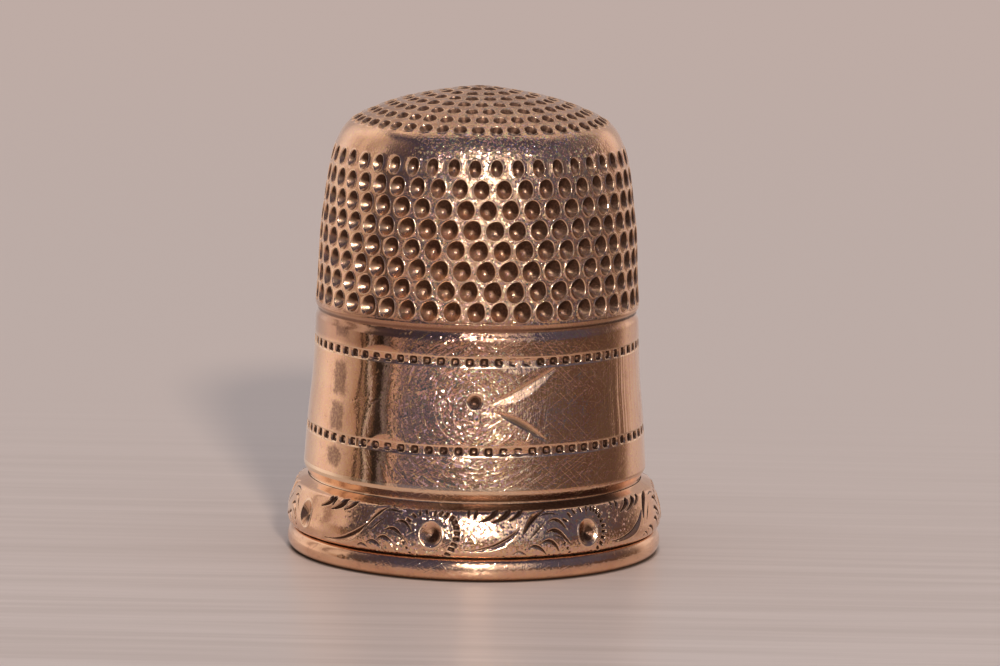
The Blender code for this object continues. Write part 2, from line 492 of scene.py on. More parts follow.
def add_wall(cup):
    for row, (half_width, half_height, depth, lean) in enumerate(WALL_ROWS):
        border = row_border(row)
        columns = row_columns(row)
        add_cells(
            cup,
            border,
            columns * PITCH,
            row_runs[row],
            (columns[:, None] + border[None, :, 0]) * PITCH,
            np.interp(row + border[:, 1], WALL_ROW_STOPS, WALL_RUN_STOPS),
            half_width,
            half_height,
            depth,
            lean=lean,
            tip=(-0.03, -0.075) if row < 6 else (-0.01, -0.05),
            mark=0.055 if row == TOP_ROW else 0.0,
        )


def cap_loop(run, theta):
    """A loop on the cap, as (positions, angles) climbing in angle."""
    wrapped = theta % TAU
    order = np.argsort(wrapped)
    return crown_points(run, theta)[order], wrapped[order]


def add_cap(cup):
    """The rings of dimples, the one about the axis and the seams between; returns the outer loop."""
    loops = []
    for ring in range(1, RINGS + 1):
        ring_run = ring * RING_STEP
        outermost = ring == RINGS
        radius = float(crown.at(ring_run)[0])
        count = COLUMNS if outermost else int(round(TAU * radius / 0.835))
        pitch = TAU / count
        phase = radians(-0.6) if outermost else 0.61 * ring
        centre = phase + pitch * np.arange(count)
        add_cells(
            cup,
            SQUARE,
            centre,
            ring_run,
            centre[:, None] + SQUARE[None, :, 0] * pitch,
            ring_run - SQUARE[:, 1] * 2 * RING_HALF,
            half_width=0.325,
            half_height=0.310,
            depth=CAP_DEPTH,
            lean=0.0,
            tip=(0.0, -0.02),
            clean=True,
        )
        theta = phase - pitch / 2 + np.arange(count * 8) * pitch / 8
        inner, outer = ring_run - RING_HALF, ring_run + RING_HALF
        loops.append((cap_loop(inner, theta), cap_loop(outer, theta)))

    cols = 24
    theta = np.arange(cols) * TAU / cols
    rings = [(share * 0.27, CAP_DEPTH * sunk, max(0.0, sunk) ** 0.7) for share, sunk in PIT]
    rings.append((RING_HALF, 0.0, 0.0))
    run, depth, cav = np.array(rings).T[:, :, None]
    pos = crown_points(run, theta, depth)
    cup.add(
        np.vstack([crown.place(0.0, 0.0, CAP_DEPTH), pos.reshape(-1, 3)]),
        quads=1 + ring_quads(len(rings), cols),
        tris=fan_tris(cols),
        cav=np.append(1.0, np.repeat(cav, cols)),
    )
    cup.zipper((pos[-1], theta), loops[0][0])
    for inner, outer in zip(loops[:-1], loops[1:]):
        cup.zipper(inner[1], outer[0])
    return loops[-1][1]


def add_shoulder(cup, cap_edge):
    """The smooth shoulder between the cap's dimples and the wall's."""
    theta = wall_edge(TOP_ROW, 4, 12)
    runs = np.linspace(RINGS * RING_STEP + RING_HALF + 0.03, float(wall_top_run), 14)
    shoulder = crown_points(runs[:, None], theta[None])
    cup.grid(shoulder)
    cup.zipper(cap_edge, (shoulder[0], theta))


# ---------------------------------------------------------------------------- banded lower wall

# (radius, height) going down: the cove under the dimples, the band, the neck above the rim
COVE = [
    (7.685, 11.75), (7.705, 11.67), (7.690, 11.59), (7.635, 11.49), (7.592, 11.39),
    (7.590, 11.28), (7.625, 11.17), (7.672, 11.06), (7.702, 10.94), (7.712, 10.80),
]
BAND = [
    (7.712, 10.80), (7.722, 10.45), (7.736, 9.95), (7.752, 9.40), (7.780, 8.90),
    (7.820, 8.20), (7.862, 7.75), (7.912, 7.30), (7.958, 6.85), (8.010, 6.30),
    (8.050, 5.83), (8.090, 5.30), (8.130, 4.75), (8.158, 4.35), (8.172, 4.15),
]
NECK = [
    (8.172, 4.15), (8.182, 4.03), (8.178, 3.94), (8.145, 3.84), (8.070, 3.70),
    (7.995, 3.57), (7.948, 3.47), (7.938, 3.41), (7.945, 3.37), (7.955, 3.31),
    (7.965, 3.20), (7.975, 3.05), (8.000, 2.90),
]
# Inside the rim and round the mouth, then up the finger cavity
SKIRT = [
    (8.00, 2.90), (8.04, 2.2), (8.060, 1.2), (8.090, 0.3),
    (8.09, -0.01), (8.02, -0.085), (7.86, -0.08), (7.70, -0.01),
]
CAVITY = [
    (7.70, -0.01), (7.645, 0.20), (7.60, 0.9), (7.52, 3.4), (7.46, 6.0), (7.36, 8.5),
    (7.22, 11.4), (7.12, 13.6), (7.02, 15.6), (6.80, 17.4), (6.48, 18.9), (6.10, 19.62),
    (5.40, 20.16), (4.30, 20.66), (2.60, 21.09), (1.20, 21.34), (0.02, 21.43),
]
BAND_COLS = 1080
INSIDE_COLS = 176

BEADS = 72
BEAD_STEP = 360.0 / BEADS
BEAD_ROWS = [(9.95, 3.0), (5.83, -0.2)]  # height, first pit's angle in degrees
DOT_Z = 8.11  # the drilled dot on the front
BAND_MM = 0.137  # millimetres round the band in a degree


def bead_pits(deg, z):
    """Depth and lips of the two rows of square pits and of the shallow track each sits in."""
    depth = np.zeros(deg.shape)
    lip = np.zeros(deg.shape)
    for row_z, phase in BEAD_ROWS:
        steps = wrap_deg(deg - phase) / BEAD_STEP
        index = np.round(steps).astype(int) % BEADS
        uneven = np.sin(index * 12.9898 + row_z) * 0.5
        x = ((steps + 0.5) % 1.0 - 0.5) * radians(BEAD_STEP) * 7.9 + 0.014 * uneven
        y = z - row_z + 0.010 * np.sin(index * 7.233 + row_z)
        ratio = (np.abs(x / 0.212) ** 4 + np.abs(y / 0.192) ** 4) ** 0.25
        pit = np.clip(1.0 - ratio**2, 0.0, 1.0) ** 0.5
        track = smoothstep(0.245, 0.205, np.abs(y))
        depth = depth + 0.016 * track + (0.125 + 0.012 * uneven) * pit
        lip = np.maximum(lip, np.exp(-(((np.abs(y) - 0.24) / 0.022) ** 2)))
        lip = np.maximum(lip, np.exp(-(((ratio - 1.08) / 0.09) ** 2)) * (np.abs(y) < 0.24))
    return depth, lip


# Shallow lens-shaped cuts against the pit rows: row height, middle angle, half angle, height
# above (+) or below (-) the row, depth at the row
LENSES = [
    (9.95, 15.3, 10.4, -0.56, 0.115), (9.95, -34.5, 11.5, 0.53, 0.085),
    (5.83, 13.5, 8.8, 0.55, 0.105), (5.83, -30.6, 9.0, 0.60, 0.090),
    (9.95, 163.0, 10.4, -0.56, 0.110), (9.95, 112.0, 11.0, 0.53, 0.085),
    (5.83, 161.0, 8.8, 0.55, 0.100), (5.83, 116.0, 9.0, 0.60, 0.090),
]


def lens_cuts(deg, z):
    depth = np.zeros(deg.shape)
    start = -0.17  # the cuts begin this far across the row
    for row_z, middle, half, height, deep in LENSES:
        share = wrap_deg(deg - middle) / half
        rise = np.sign(height) * (z - row_z)
        top = abs(height) * np.clip(1.0 - share * share, 0.0, 1.0)
        slope = np.clip((top - rise) / (abs(height) - start), 0.0, 1.0)
        cut = deep * slope * (rise > start) * (np.abs(share) < 1.0)
        depth = np.maximum(depth, cut * smoothstep(start - 0.001, start + 0.05, rise))
    return depth


def leaf(x, z, start, end, bulge, deep, sign, peak):
    """A leaf-shaped cut, steep along the straight line from start to end.

    sign 1 puts the leaf on the left of that line; peak is where along it the leaf is widest.
    """
    length = hypot(end[0] - start[0], end[1] - start[1])
    dir_x, dir_z = (end[0] - start[0]) / length, (end[1] - start[1]) / length
    off_x, off_z = x - start[0], z - start[1]
    share = (off_x * dir_x + off_z * dir_z) / length
    into = sign * (-off_x * dir_z + off_z * dir_x)
    along = np.clip(share, 0.0, 1.0)
    rising = np.sin(0.5 * pi * along / peak)
    falling = np.cos(0.5 * pi * (along - peak) / (1 - peak))
    shape = np.where(along < peak, rising, falling)
    width = bulge * np.clip(shape, 0.0, 1.0) ** 0.85 + 1e-6
    gentle = np.clip(1.0 - into / width, 0.0, 1.0)
    inside = (share > 0) & (share < 1) & (into < width)
    cut = deep * (width / bulge) * gentle * smoothstep(-0.045, 0.01, into)
    return np.where(inside, cut, 0.0)


def leaf_cuts(deg, z):
    """Depth, dirt with painted shade and rubbing with painted highlight, of the two leaves and the
    drilled dot on the front.
    """
    x = wrap_deg(deg) * DEG * 7.85
    upper_deep, lower_deep, dot_deep = 0.105, 0.085, 0.165
    upper = leaf(x, z, (0.72, 8.02), (4.07, 9.73), 0.50, upper_deep, sign=-1.0, peak=0.40)
    lower = leaf(x, z, (0.90, 7.68), (3.48, 6.22), 0.34, lower_deep, sign=1.0, peak=0.45)
    depth = np.maximum(upper, lower)
    ratio = np.hypot(x, z - DOT_Z) / 0.345
    dot = dot_deep * np.clip(1.0 - ratio**2, 0.0, 1.0) ** 0.75
    lip = -0.018 * np.exp(-(((ratio - 1.16) / 0.11) ** 2))
    depth = np.where(ratio < 1.0, np.maximum(depth, dot + lip), depth + lip * (ratio < 1.6))
    # painted shade: the lower leaf, facing down, is filled dark; painted highlight: the upper leaf,
    # facing up, is kept nearly clean and rubbed lighter
    dirt = np.maximum(upper / upper_deep * 0.10, lower / lower_deep) + (dot / dot_deep) * 0.9
    polish_and_highlight = np.clip(upper / 0.02, 0.0, 1.0) * 0.36 + np.clip(lower / 0.02, 0.0, 1.0) * 0.20
    rubbed_and_highlight = np.maximum(np.exp(-(((ratio - 1.1) / 0.1) ** 2)), polish_and_highlight)
    return depth, np.clip(dirt, 0.0, 1.0), rubbed_and_highlight


def stroke_cut(x, y, points, half_width, depth, steep=0.0, peak=0.5, end=0.0):
    """Depth, dirt and burr of a graver stroke along points (x, y in mm); the dirt holds painted
    shade on the steep side.

    steep > 0 makes its left side the steep one, < 0 the right. The stroke is widest at peak, a
    share of its length, and end is the share of that width left at its ends.
    """
    path = smooth_curve(points, 6) if len(points) > 2 else np.array(points, float)
    steps = np.diff(path, axis=0)
    lengths = np.hypot(steps[:, 0], steps[:, 1])
    run = np.concatenate([[0.0], np.cumsum(lengths)])
    nearest = np.full(x.shape, 1e9)
    side = np.zeros(x.shape)
    along = np.zeros(x.shape)
    for i, (step_x, step_y) in enumerate(steps):
        off_x, off_y = x - path[i, 0], y - path[i, 1]
        share = np.clip((off_x * step_x + off_y * step_y) / lengths[i] ** 2, 0.0, 1.0)
        dist = np.hypot(off_x - share * step_x, off_y - share * step_y)
        near = dist < nearest
        nearest = np.where(near, dist, nearest)
        side = np.where(near, np.sign(step_x * off_y - step_y * off_x), side)
        along = np.where(near, (run[i] + share * lengths[i]) / run[-1], along)
    rise = np.where(along < peak, along / peak, (1.0 - along) / (1.0 - peak))
    taper = np.clip(end + (1 - end) * rise, 0.0, 1.0) ** 0.7
    width = half_width * taper + 1e-6
    width = width * np.where(side > 0, 1.0 - max(0.0, steep), 1.0 - max(0.0, -steep))
    ratio = nearest / np.maximum(width, 1e-6)
    inward = np.clip(1.0 - ratio, 0.0, 1.0)
    cut = depth * inward * (0.35 + 0.65 * taper)
    # painted shade: on the steep side the dirt fills nearly to the edge, on the open side only the
    # middle
    walled = ((side > 0) == (steep >= 0)) | (abs(steep) < 0.3)
    open_side = np.clip(2.2 * inward - 1.1, 0.0, 1.0)
    dirt = np.where(walled, np.clip(2.6 * inward, 0.0, 1.0), open_side)
    inside = (along > 1e-6) & (along < 1.0 - 1e-6)
    burr = np.exp(-(((ratio - 1.16) / 0.12) ** 2)) * taper * inside * (width > 0.02)
    return np.stack([cut, dirt, burr])


# Knife-like scratches on the front: angle and height of both ends, bow to the side
SCRATCHES = [
    (-17.5, 9.61, -7.7, 7.83, -0.10), (-15.2, 7.78, -4.8, 6.92, 0.10),
    (-21.2, 7.30, -17.5, 6.40, 0.02), (-26.2, 5.25, -20.4, 4.05, 0.04),
    (-15.3, 5.60, -4.3, 4.08, -0.03), (-18.0, 5.35, -10.9, 4.11, 0.06),
    (-18.6, 4.95, -12.9, 4.05, 0.03), (-16.9, 5.55, -8.0, 4.10, 0.05),
    (27.6, 5.40, 21.4, 4.05, 0.02), (32.9, 4.84, 30.9, 4.30, 0.0),
    (-12.0, 9.3, -3.5, 8.2, -0.1), (-22.3, 6.4, -17.0, 7.4, 0.1),
    (3.0, 7.4, 6.5, 6.6, 0.0), (-30.0, 5.0, -28.5, 4.3, 0.0),
]


def random_scratches():
    """Short scratches all round the band."""
    found = []
    for _ in range(60):
        deg = rng.uniform(-180, 180)
        z = rng.uniform(4.3, 10.6)
        turn = rng.uniform(0, pi)
        length = rng.uniform(0.3, 1.3)
        end_deg = deg + length * cos(turn) / BAND_MM
        end_z = min(10.7, max(4.2, z + length * sin(turn)))
        found.append((deg, z, end_deg, end_z, rng.uniform(-0.05, 0.05)))
    return found


def scratch_lines(deg, z):
    depth = np.zeros(deg.shape)
    for deg_0, z_0, deg_1, z_1, bow in SCRATCHES + random_scratches():
        x = wrap_deg(deg - 0.5 * (deg_0 + deg_1)) * BAND_MM
        half = (deg_1 - deg_0) * BAND_MM / 2
        cols = np.where(np.abs(x[0]) < abs(half) + 0.2)[0]
        near = (z[:, 0] > min(z_0, z_1) - 0.2) & (z[:, 0] < max(z_0, z_1) + 0.2)
        rows = np.where(near)[0]
        if not len(cols) or not len(rows):
            continue
        part = np.ix_(rows, cols)
        points = [(-half, z_0), (bow, (z_0 + z_1) / 2), (half, z_1)]
        line = stroke_cut(x[part], z[part], points, half_width=0.045, depth=0.010, end=0.2)[0]
        depth[part] = np.maximum(depth[part], line)
    return depth


def band_heights():
    """Heights down the band, finer near the bead rows and the dot."""
    z, low = BAND[0][1], BAND[-1][1]
    coarse, fine, reach = 0.058, 0.034, 0.27
    marks = [BEAD_ROWS[0][0], BEAD_ROWS[1][0], DOT_Z]
    heights = [z]
    while z > low:
        near = min(abs(z - fine / 2 - mark) for mark in marks)
        z -= fine if near < reach else coarse
        heights.append(max(z, low))
    return np.array(heights)


def add_band(cup, deg_cols):
    band = Profile(BAND, per_span=16)
    heights = band_heights()
    z, deg = np.meshgrid(heights, deg_cols, indexing="ij")
    beads, bead_lip = bead_pits(deg, z)
    lens = lens_cuts(deg, z)
    leaves, leaf_dirt_and_shade, leaf_rubbed_and_highlight = leaf_cuts(deg, z)
    depth = np.maximum(beads, lens + 0.25 * np.minimum(beads, 0.04)) + scratch_lines(deg, z)
    depth = np.maximum(depth, leaves) + np.minimum(leaves, 0.0)
    rubbed_clean = 1.0 - 0.70 * smoothstep(0.124, 0.139, beads)  # the bottoms of the pits
    dirt = np.clip((beads - 0.02) / 0.085, 0.0, 1.0) * rubbed_clean * (lens < 0.07) * 0.95
    rubbed_and_highlight = np.maximum(bead_lip * (lens < 0.05), 0.9 * leaf_rubbed_and_highlight)
    theta = deg * DEG
    pos = band.place(band.run_at(heights)[:, None], theta, depth - worn(theta, z))
    cup.grid(pos, cav=np.clip(dirt + leaf_dirt_and_shade, 0, 1), edge=np.clip(rubbed_and_highlight, 0, 1))


def row_heights(profile, rows):
    """Heights of plain rows, as a column."""
    return profile.at(np.linspace(0.0, profile.length, rows))[1][:, None]


def build_cup():
    cup = Body()
    add_wall(cup)
    add_shoulder(cup, add_cap(cup))

    deg_cols = np.arange(BAND_COLS) * 360.0 / BAND_COLS
    theta = deg_cols * DEG
    add_band(cup, deg_cols)

    cove = Profile(COVE, per_span=10)
    cove_pos = plain_rows(cove, 26, theta)
    cup.grid(cove_pos, cav=0.75 * np.exp(-(((row_heights(cove, 26) - 11.42) / 0.10) ** 2)))

    # the groove at the neck's foot is darkened, most on the front's right: dirt plus painted shade;
    # the neck is rubbed light on the front's left, partly a painted highlight
    neck = Profile(NECK, per_span=10)
    neck_pos = plain_rows(neck, 34, theta)
    deg = wrap_deg(deg_cols)
    held_dirt_and_shade = 0.15 + 0.75 * np.where(np.abs(deg) < 100.0, smoothstep(8.0, 34.0, deg), 0.5)
    neck_dirt_and_shade = np.clip(0.9 * smoothstep(3.46, 3.38, row_heights(neck, 34)), 0, 1)
    rubbed_and_highlight = np.clip(0.9 * (0.9 - held_dirt_and_shade) / 0.75, 0.0, 1.0)
    cup.grid(neck_pos, cav=neck_dirt_and_shade * held_dirt_and_shade * 0.6, edge=rubbed_and_highlight)

    wall_low = wall_edge(0, 16, 24)
    cup.zipper((crown_points(crown.length, wall_low), wall_low), (cove_pos[0], theta))

    inside_th = np.arange(INSIDE_COLS) * TAU / INSIDE_COLS
    skirt_pos = plain_rows(Profile(SKIRT, per_span=6), 20, inside_th, wear=0.0)
    cavity_pos = plain_rows(Profile(CAVITY, per_span=6), 60, inside_th, wear=1.5)
    cavity_pos[0] = skirt_pos[-1]
    cup.grid(skirt_pos)
    cup.grid(cavity_pos)
    cup.zipper((neck_pos[-1], theta), (skirt_pos[0], inside_th))
    cup.add(
        np.vstack([cavity_pos[-1], [[0.0, 0.0, CAVITY[-1][1]]]]),
        tris=[(k, INSIDE_COLS, (k + 1) % INSIDE_COLS) for k in range(INSIDE_COLS)],
    )
    return cup


# ---------------------------------------------------------------------------- applied rim

# (radius, height) down the rim's face, then back up its hidden inside
RIM_OUT = [
    (7.965, 3.385), (8.040, 3.325), (8.180, 3.245), (8.340, 3.170), (8.460, 3.105),
    (8.535, 3.025), (8.592, 2.900), (8.662, 2.700), (8.736, 2.480), (8.806, 2.260),
    (8.866, 2.060), (8.906, 1.890), (8.926, 1.730), (8.932, 1.560), (8.926, 1.380),
    (8.900, 1.210), (8.840, 1.080), (8.750, 1.000), (8.640, 0.965), (8.560, 0.958),
]
RIM_IN = [
    (8.56, 0.958), (8.14, 0.96), (8.085, 1.06), (8.06, 2.0),
    (8.03, 2.95), (7.985, 3.10), (7.970, 3.28), (7.965, 3.385),
]
RIM_COLS = 1680
RIM_ROWS = 88
RIM_MM = 8.85 * DEG  # millimetres round the rim in a degree
rim_out = Profile(RIM_OUT, per_span=16)

# The border has seven repeats, each about a round pit at one of these angles.
PIT_ANGLES = [-62.9, -12.7, 37.1, 89.1, 141.1, 193.1, 245.1]
# Strokes of one repeat: points (degrees from the pit, height), half width, depth, steep, peak
STROKES = [
    ([(9.8, 1.37), (13.5, 1.39), (16.4, 1.47), (19.4, 1.61), (22.4, 1.84), (24.9, 2.10),
      (27.6, 2.44)], 0.245, 0.13, 0.60, 0.62),
    ([(27.6, 2.02), (28.6, 2.30), (30.2, 2.62), (32.4, 2.92), (35.6, 3.14)],
     0.23, 0.13, -0.45, 0.60),
    ([(11.7, 3.14), (11.4, 2.80)], 0.10, 0.09, 0.0, 0.25),
    ([(14.3, 3.14), (13.3, 2.76)], 0.115, 0.10, 0.0, 0.25),
    ([(20.4, 3.16), (18.9, 2.93), (17.0, 2.76), (14.4, 2.62)], 0.185, 0.14, 0.25, 0.22),
    ([(25.0, 3.16), (23.2, 2.91), (21.1, 2.73), (18.5, 2.60)], 0.195, 0.14, 0.25, 0.22),
    ([(28.4, 3.15), (26.0, 2.90), (23.4, 2.70)], 0.145, 0.11, 0.25, 0.22),
    ([(-13.5, 2.58), (-11.2, 2.70), (-9.0, 2.58), (-6.6, 2.10)], 0.115, 0.10, 0.45, 0.40),
    ([(-14.6, 2.12), (-12.2, 2.27), (-9.9, 2.15), (-8.3, 1.90), (-6.2, 1.56)],
     0.15, 0.115, 0.45, 0.35),
    ([(-16.6, 1.58), (-14.7, 1.75), (-12.8, 1.71), (-11.1, 1.46), (-9.9, 1.10)],
     0.14, 0.11, 0.45, 0.35),
    ([(-21.0, 1.40), (-19.2, 1.54), (-17.3, 1.48), (-15.6, 1.26), (-14.4, 1.00)],
     0.12, 0.10, 0.45, 0.35),
    ([(-24.9, 1.18), (-23.2, 1.32), (-21.6, 1.27), (-20.0, 1.05)], 0.09, 0.08, 0.45, 0.35),
    ([(-12.0, 1.99), (-9.9, 1.87), (-8.6, 1.62)], 0.05, 0.04, 0.2, 0.4),
    ([(-16.0, 2.92), (-12.6, 2.98), (-9.6, 2.88)], 0.06, 0.05, 0.2, 0.4),
    ([(29.9, 1.92), (32.2, 2.28), (35.2, 2.66)], 0.055, 0.04, 0.2, 0.4),
]
# The border was cut by hand, so repeats differ. (repeat, stroke): shift in degrees and in height
MOVED = {
    (0, 0): (1.6, -0.13), (0, 1): (1.2, -0.03), (0, 4): (-6.6, -0.02), (0, 5): (-5.0, -0.02),
    (0, 6): (-4.4, -0.02), (1, 7): (0.9, -0.12), (1, 8): (-0.3, -0.10), (1, 9): (-0.8, 0.0),
}
# Oblong punches round each pit, and round ones below left of it: degrees from the pit, height
RING_PUNCHES = [
    (2.8, 2.99), (4.6, 2.95), (6.2, 2.82), (7.2, 2.62), (7.7, 2.40), (8.0, 2.16), (7.8, 1.90),
    (7.2, 1.64), (6.4, 1.38), (5.2, 1.14), (0.9, 3.01), (-1.6, 3.01), (-3.8, 2.97),
    (-5.9, 2.82), (-7.5, 2.62),
]
DOT_PUNCHES = [(-8.4, 1.58), (-7.4, 1.34), (-6.5, 1.10)]
NARROW_REPEATS = (2, 4)  # with narrower oblong punches
PUNCH_STRENGTH = {0: 0.0, 5: 0.12}  # repeats where they are worn away or nearly so


def rim_height(z):
    """Length up the rim's face to a height z."""
    return rim_out.length - rim_out.run_at(z)


def repeat_marks(index, x, y):
    """Depth, dirt with painted shade, and burr of one repeat's strokes and punches."""
    chance = np.random.default_rng(50 + index)
    marks = np.zeros((3, *x.shape))
    for number, (points, half, deep, steep, peak) in enumerate(STROKES):
        more_deg, more_height = MOVED.get((index, number), (0.0, 0.0))
        shift_deg = chance.normal(0.0, 0.25) + more_deg
        shift = chance.normal(0.0, 0.018) + more_height
        moved = [((deg + shift_deg) * RIM_MM, rim_height(z) + shift) for deg, z in points]
        half = half * chance.uniform(0.92, 1.08)
        marks = np.maximum(marks, stroke_cut(x, y, moved, half, deep, steep, peak))
    for deg, z in RING_PUNCHES:
        squeeze = 0.78 if index == 2 and deg > 3.0 else 1.0
        punch_x = (deg * squeeze + chance.normal(0.0, 0.12)) * RIM_MM
        punch_y = rim_height(z) + chance.normal(0.0, 0.012)
        # each punch is turned to face the pit, and is lighter on the pit's left
        turn = atan2(punch_y - rim_height(2.03), punch_x) + chance.normal(0.0, 0.15)
        off_x, off_y = x - punch_x, y - punch_y
        outward = off_x * cos(turn) + off_y * sin(turn)
        across = -off_x * sin(turn) + off_y * cos(turn)
        widths, strong = ((0.062, 0.075), 0.55) if deg < 2.0 else ((0.075, 0.100), 1.0)
        width = widths[0 if index in NARROW_REPEATS else 1]
        strong = strong * PUNCH_STRENGTH.get(index, 1.0)
        ratio = (np.abs(outward / 0.150) ** 6 + np.abs(across / width) ** 6) ** (1.0 / 6.0)
        cut = 0.100 * strong * np.clip(1.0 - ratio**2, 0, 1) ** 0.42
        burr = np.exp(-(((ratio - 1.22) / 0.12) ** 2)) * min(1.0, strong)
        marks = np.maximum(marks, [cut, np.clip(cut / 0.05, 0, 1), burr])
    for deg, z in DOT_PUNCHES:
        ratio = np.hypot(x - deg * RIM_MM, y - rim_height(z)) / 0.075
        cut = 0.05 * np.clip(1.0 - ratio**2, 0, 1) ** 0.6
        marks = np.maximum(marks, [cut, np.clip(cut / 0.04, 0, 1), 0.0 * cut])
    return marks


def add_round_pit(index, x, y, marks):
    """Sink one repeat's round pit into its marks; returns depth, dirt with painted shade, and rubbed
    lips painted light as a highlight.
    """
    depth, dirt, burr = marks
    middle = rim_height(1.975 if index == 2 else 2.05)
    ratio = np.hypot(x / 0.510, (y - middle) / (0.575 if index == 1 else 0.61))
    blunt = 0.30
    fall = np.hypot(np.minimum(ratio, 1.0), blunt) - blunt
    bowl = (0.24 if index == 0 else 0.36) * (1.0 - fall / (hypot(1.0, blunt) - blunt))
    raised = -0.030 * np.exp(-(((ratio - 1.10) / 0.070) ** 2))
    depth = np.where(depth > 0.004, depth, depth - 0.013 * burr)
    depth = np.where(ratio < 1.0, np.maximum(depth, bowl), depth) + raised
    # painted shade: the bowl is darker towards its right
    facing = 0.62 + 0.38 * np.cos(np.arctan2(y - middle, x) + 0.5)
    bowl_dirt_and_shade = np.clip(1.9 * bowl / 0.36, 0, 1) * facing * (ratio < 0.94)
    dirt = np.where(ratio < 1.0, np.maximum(dirt * (ratio > 0.9), bowl_dirt_and_shade), dirt)
    lip = np.maximum(0.8 * burr * (dirt < 0.3), np.exp(-(((ratio - 1.08) / 0.09) ** 2)))
    return depth, dirt, lip


def rim_ornament(deg, height):
    """Depth, dirt with painted shade, and rubbed lips painted light as a highlight, of the whole
    border.
    """
    depth, dirt, lip = np.zeros((3, *deg.shape))
    for index, pit in enumerate(PIT_ANGLES):
        local = wrap_deg(deg[0] - pit)
        cols = np.where((local > -27.0) & (local < 39.0))[0]
        part = np.ix_(np.arange(deg.shape[0]), cols)
        x = wrap_deg(deg[part] - pit) * RIM_MM
        y = height[part]
        cut, cut_dirt, cut_lip = add_round_pit(index, x, y, repeat_marks(index, x, y))
        lip[part] = np.maximum(lip[part], cut_lip)
        depth[part] = np.where(cut < 0, depth[part] + cut, np.maximum(depth[part], cut))
        dirt[part] = np.maximum(dirt[part], cut_dirt)
    return depth, dirt, lip


def build_rim():
    rim = Body()
    theta = np.arange(RIM_COLS) * TAU / RIM_COLS
    run = np.linspace(0.0, rim_out.length, RIM_ROWS)
    height, deg = np.meshgrid(rim_out.length - run, theta / DEG, indexing="ij")
    cut, dirt, lip = rim_ornament(deg, height)
    top_edge = rim_height(3.19)
    fade = smoothstep(0.16, 0.34, height) * smoothstep(top_edge + 0.05, top_edge - 0.16, height)
    run = run[:, None]
    z = rim_out.at(run)[1]
    grid_th = deg * DEG
    pos = rim_out.place(run, grid_th, cut * fade - worn(grid_th, z + 31.0))
    # The groove over the rim is darkened, most on the front's right and round the back: dirt plus
    # painted shade.
    away = np.abs(wrap_deg(deg - 22.0))
    held_dirt_and_shade = np.where(np.abs(wrap_deg(deg)) < 100.0, smoothstep(46.0, 22.0, away), 0.45)
    top_slope = smoothstep(3.07, 3.17, z) * (0.12 + 0.88 * held_dirt_and_shade)
    under = smoothstep(1.00, 0.965, z)
    cav = np.clip(dirt * fade + 0.62 * under + 0.80 * top_slope, 0, 1)
    rim.grid(pos, cav=cav, edge=lip * 0.9)
    add_inside(rim, Profile(RIM_IN, per_span=4), 12, theta, pos, cav=1.0)
    return rim


# ---------------------------------------------------------------------------- foot ring

# (radius, height) down the outside, then back up the hidden inside
FOOT_OUT = [
    (8.18, 0.935), (8.46, 0.938), (8.600, 0.925), (8.705, 0.885), (8.790, 0.810),
    (8.852, 0.700), (8.892, 0.570), (8.914, 0.420), (8.908, 0.260), (8.872, 0.110),
    (8.800, -0.020), (8.700, -0.100), (8.600, -0.128), (8.520, -0.130),
]
FOOT_IN = [
    (8.52, -0.13), (8.36, -0.13), (8.19, -0.12), (8.165, -0.06),
    (8.16, 0.45), (8.165, 0.88), (8.18, 0.935),
]
FOOT_COLS = 704
FOOT_ROWS = 44
FOOT_MM = 0.155  # millimetres round the foot in a degree


def build_foot():
    foot = Body()
    theta = np.arange(FOOT_COLS) * TAU / FOOT_COLS
    outside = Profile(FOOT_OUT, per_span=12)
    run = np.linspace(0.0, outside.length, FOOT_ROWS)[:, None]
    z = outside.at(run)[1]
    dents = np.zeros((FOOT_ROWS, FOOT_COLS))
    for _ in range(34):
        deg, dent_z = rng.uniform(0, 360), rng.uniform(0.1, 0.85)
        size, deep = rng.uniform(0.05, 0.22), rng.uniform(0.003, 0.012)
        x = wrap_deg(theta / DEG - deg) * FOOT_MM
        dents += deep * np.exp(-((x / size) ** 2) - (((z - dent_z) / (size * 0.6)) ** 2))
    off_table = smoothstep(-0.11, 0.08, z)
    pos = outside.place(run, theta, (dents - 1.1 * worn(theta, z + 47.0)) * off_table)
    # painted shade on the underside, where the ring meets the table; also darker at the top, where
    # the rim sits on it
    foot.grid(pos, cav=0.62 * smoothstep(0.895, 0.93, z) + 0.55 * smoothstep(0.0, -0.09, z))
    add_inside(foot, Profile(FOOT_IN, per_span=4), 14, theta, pos, cav=0.8)
    return foot


# ---------------------------------------------------------------------------- shader helpers


class Value:
    """An output of a shader node; arithmetic on it adds math nodes."""

    def __init__(self, tree, socket):
        self.tree, self.socket = tree, socket

    def __add__(self, other):
        return self.tree.math("ADD", self, other)

    def __sub__(self, other):
        return self.tree.math("SUBTRACT", self, other)

    def __rsub__(self, other):
        return self.tree.math("SUBTRACT", other, self)

    def __mul__(self, other):
        return self.tree.math("MULTIPLY", self, other)

    def __abs__(self):
        return self.tree.math("ABSOLUTE", self)

    def times_plus(self, factor, offset):
        return self.tree.math("MULTIPLY_ADD", self, factor, offset)

    def ramp(self, start, end, low=0.0, high=1.0, kind="SMOOTHSTEP"):
        """Go from low at start to high at end."""
        inputs = {"Value": self, "From Min": start, "From Max": end, "To Min": low, "To Max": high}
        return self.tree.value("MapRange", inputs, "Result", interpolation_type=kind)

    def ramp_deg(self, start, end, low=0.0, high=1.0):
        return self.ramp(radians(start), radians(end), low, high)


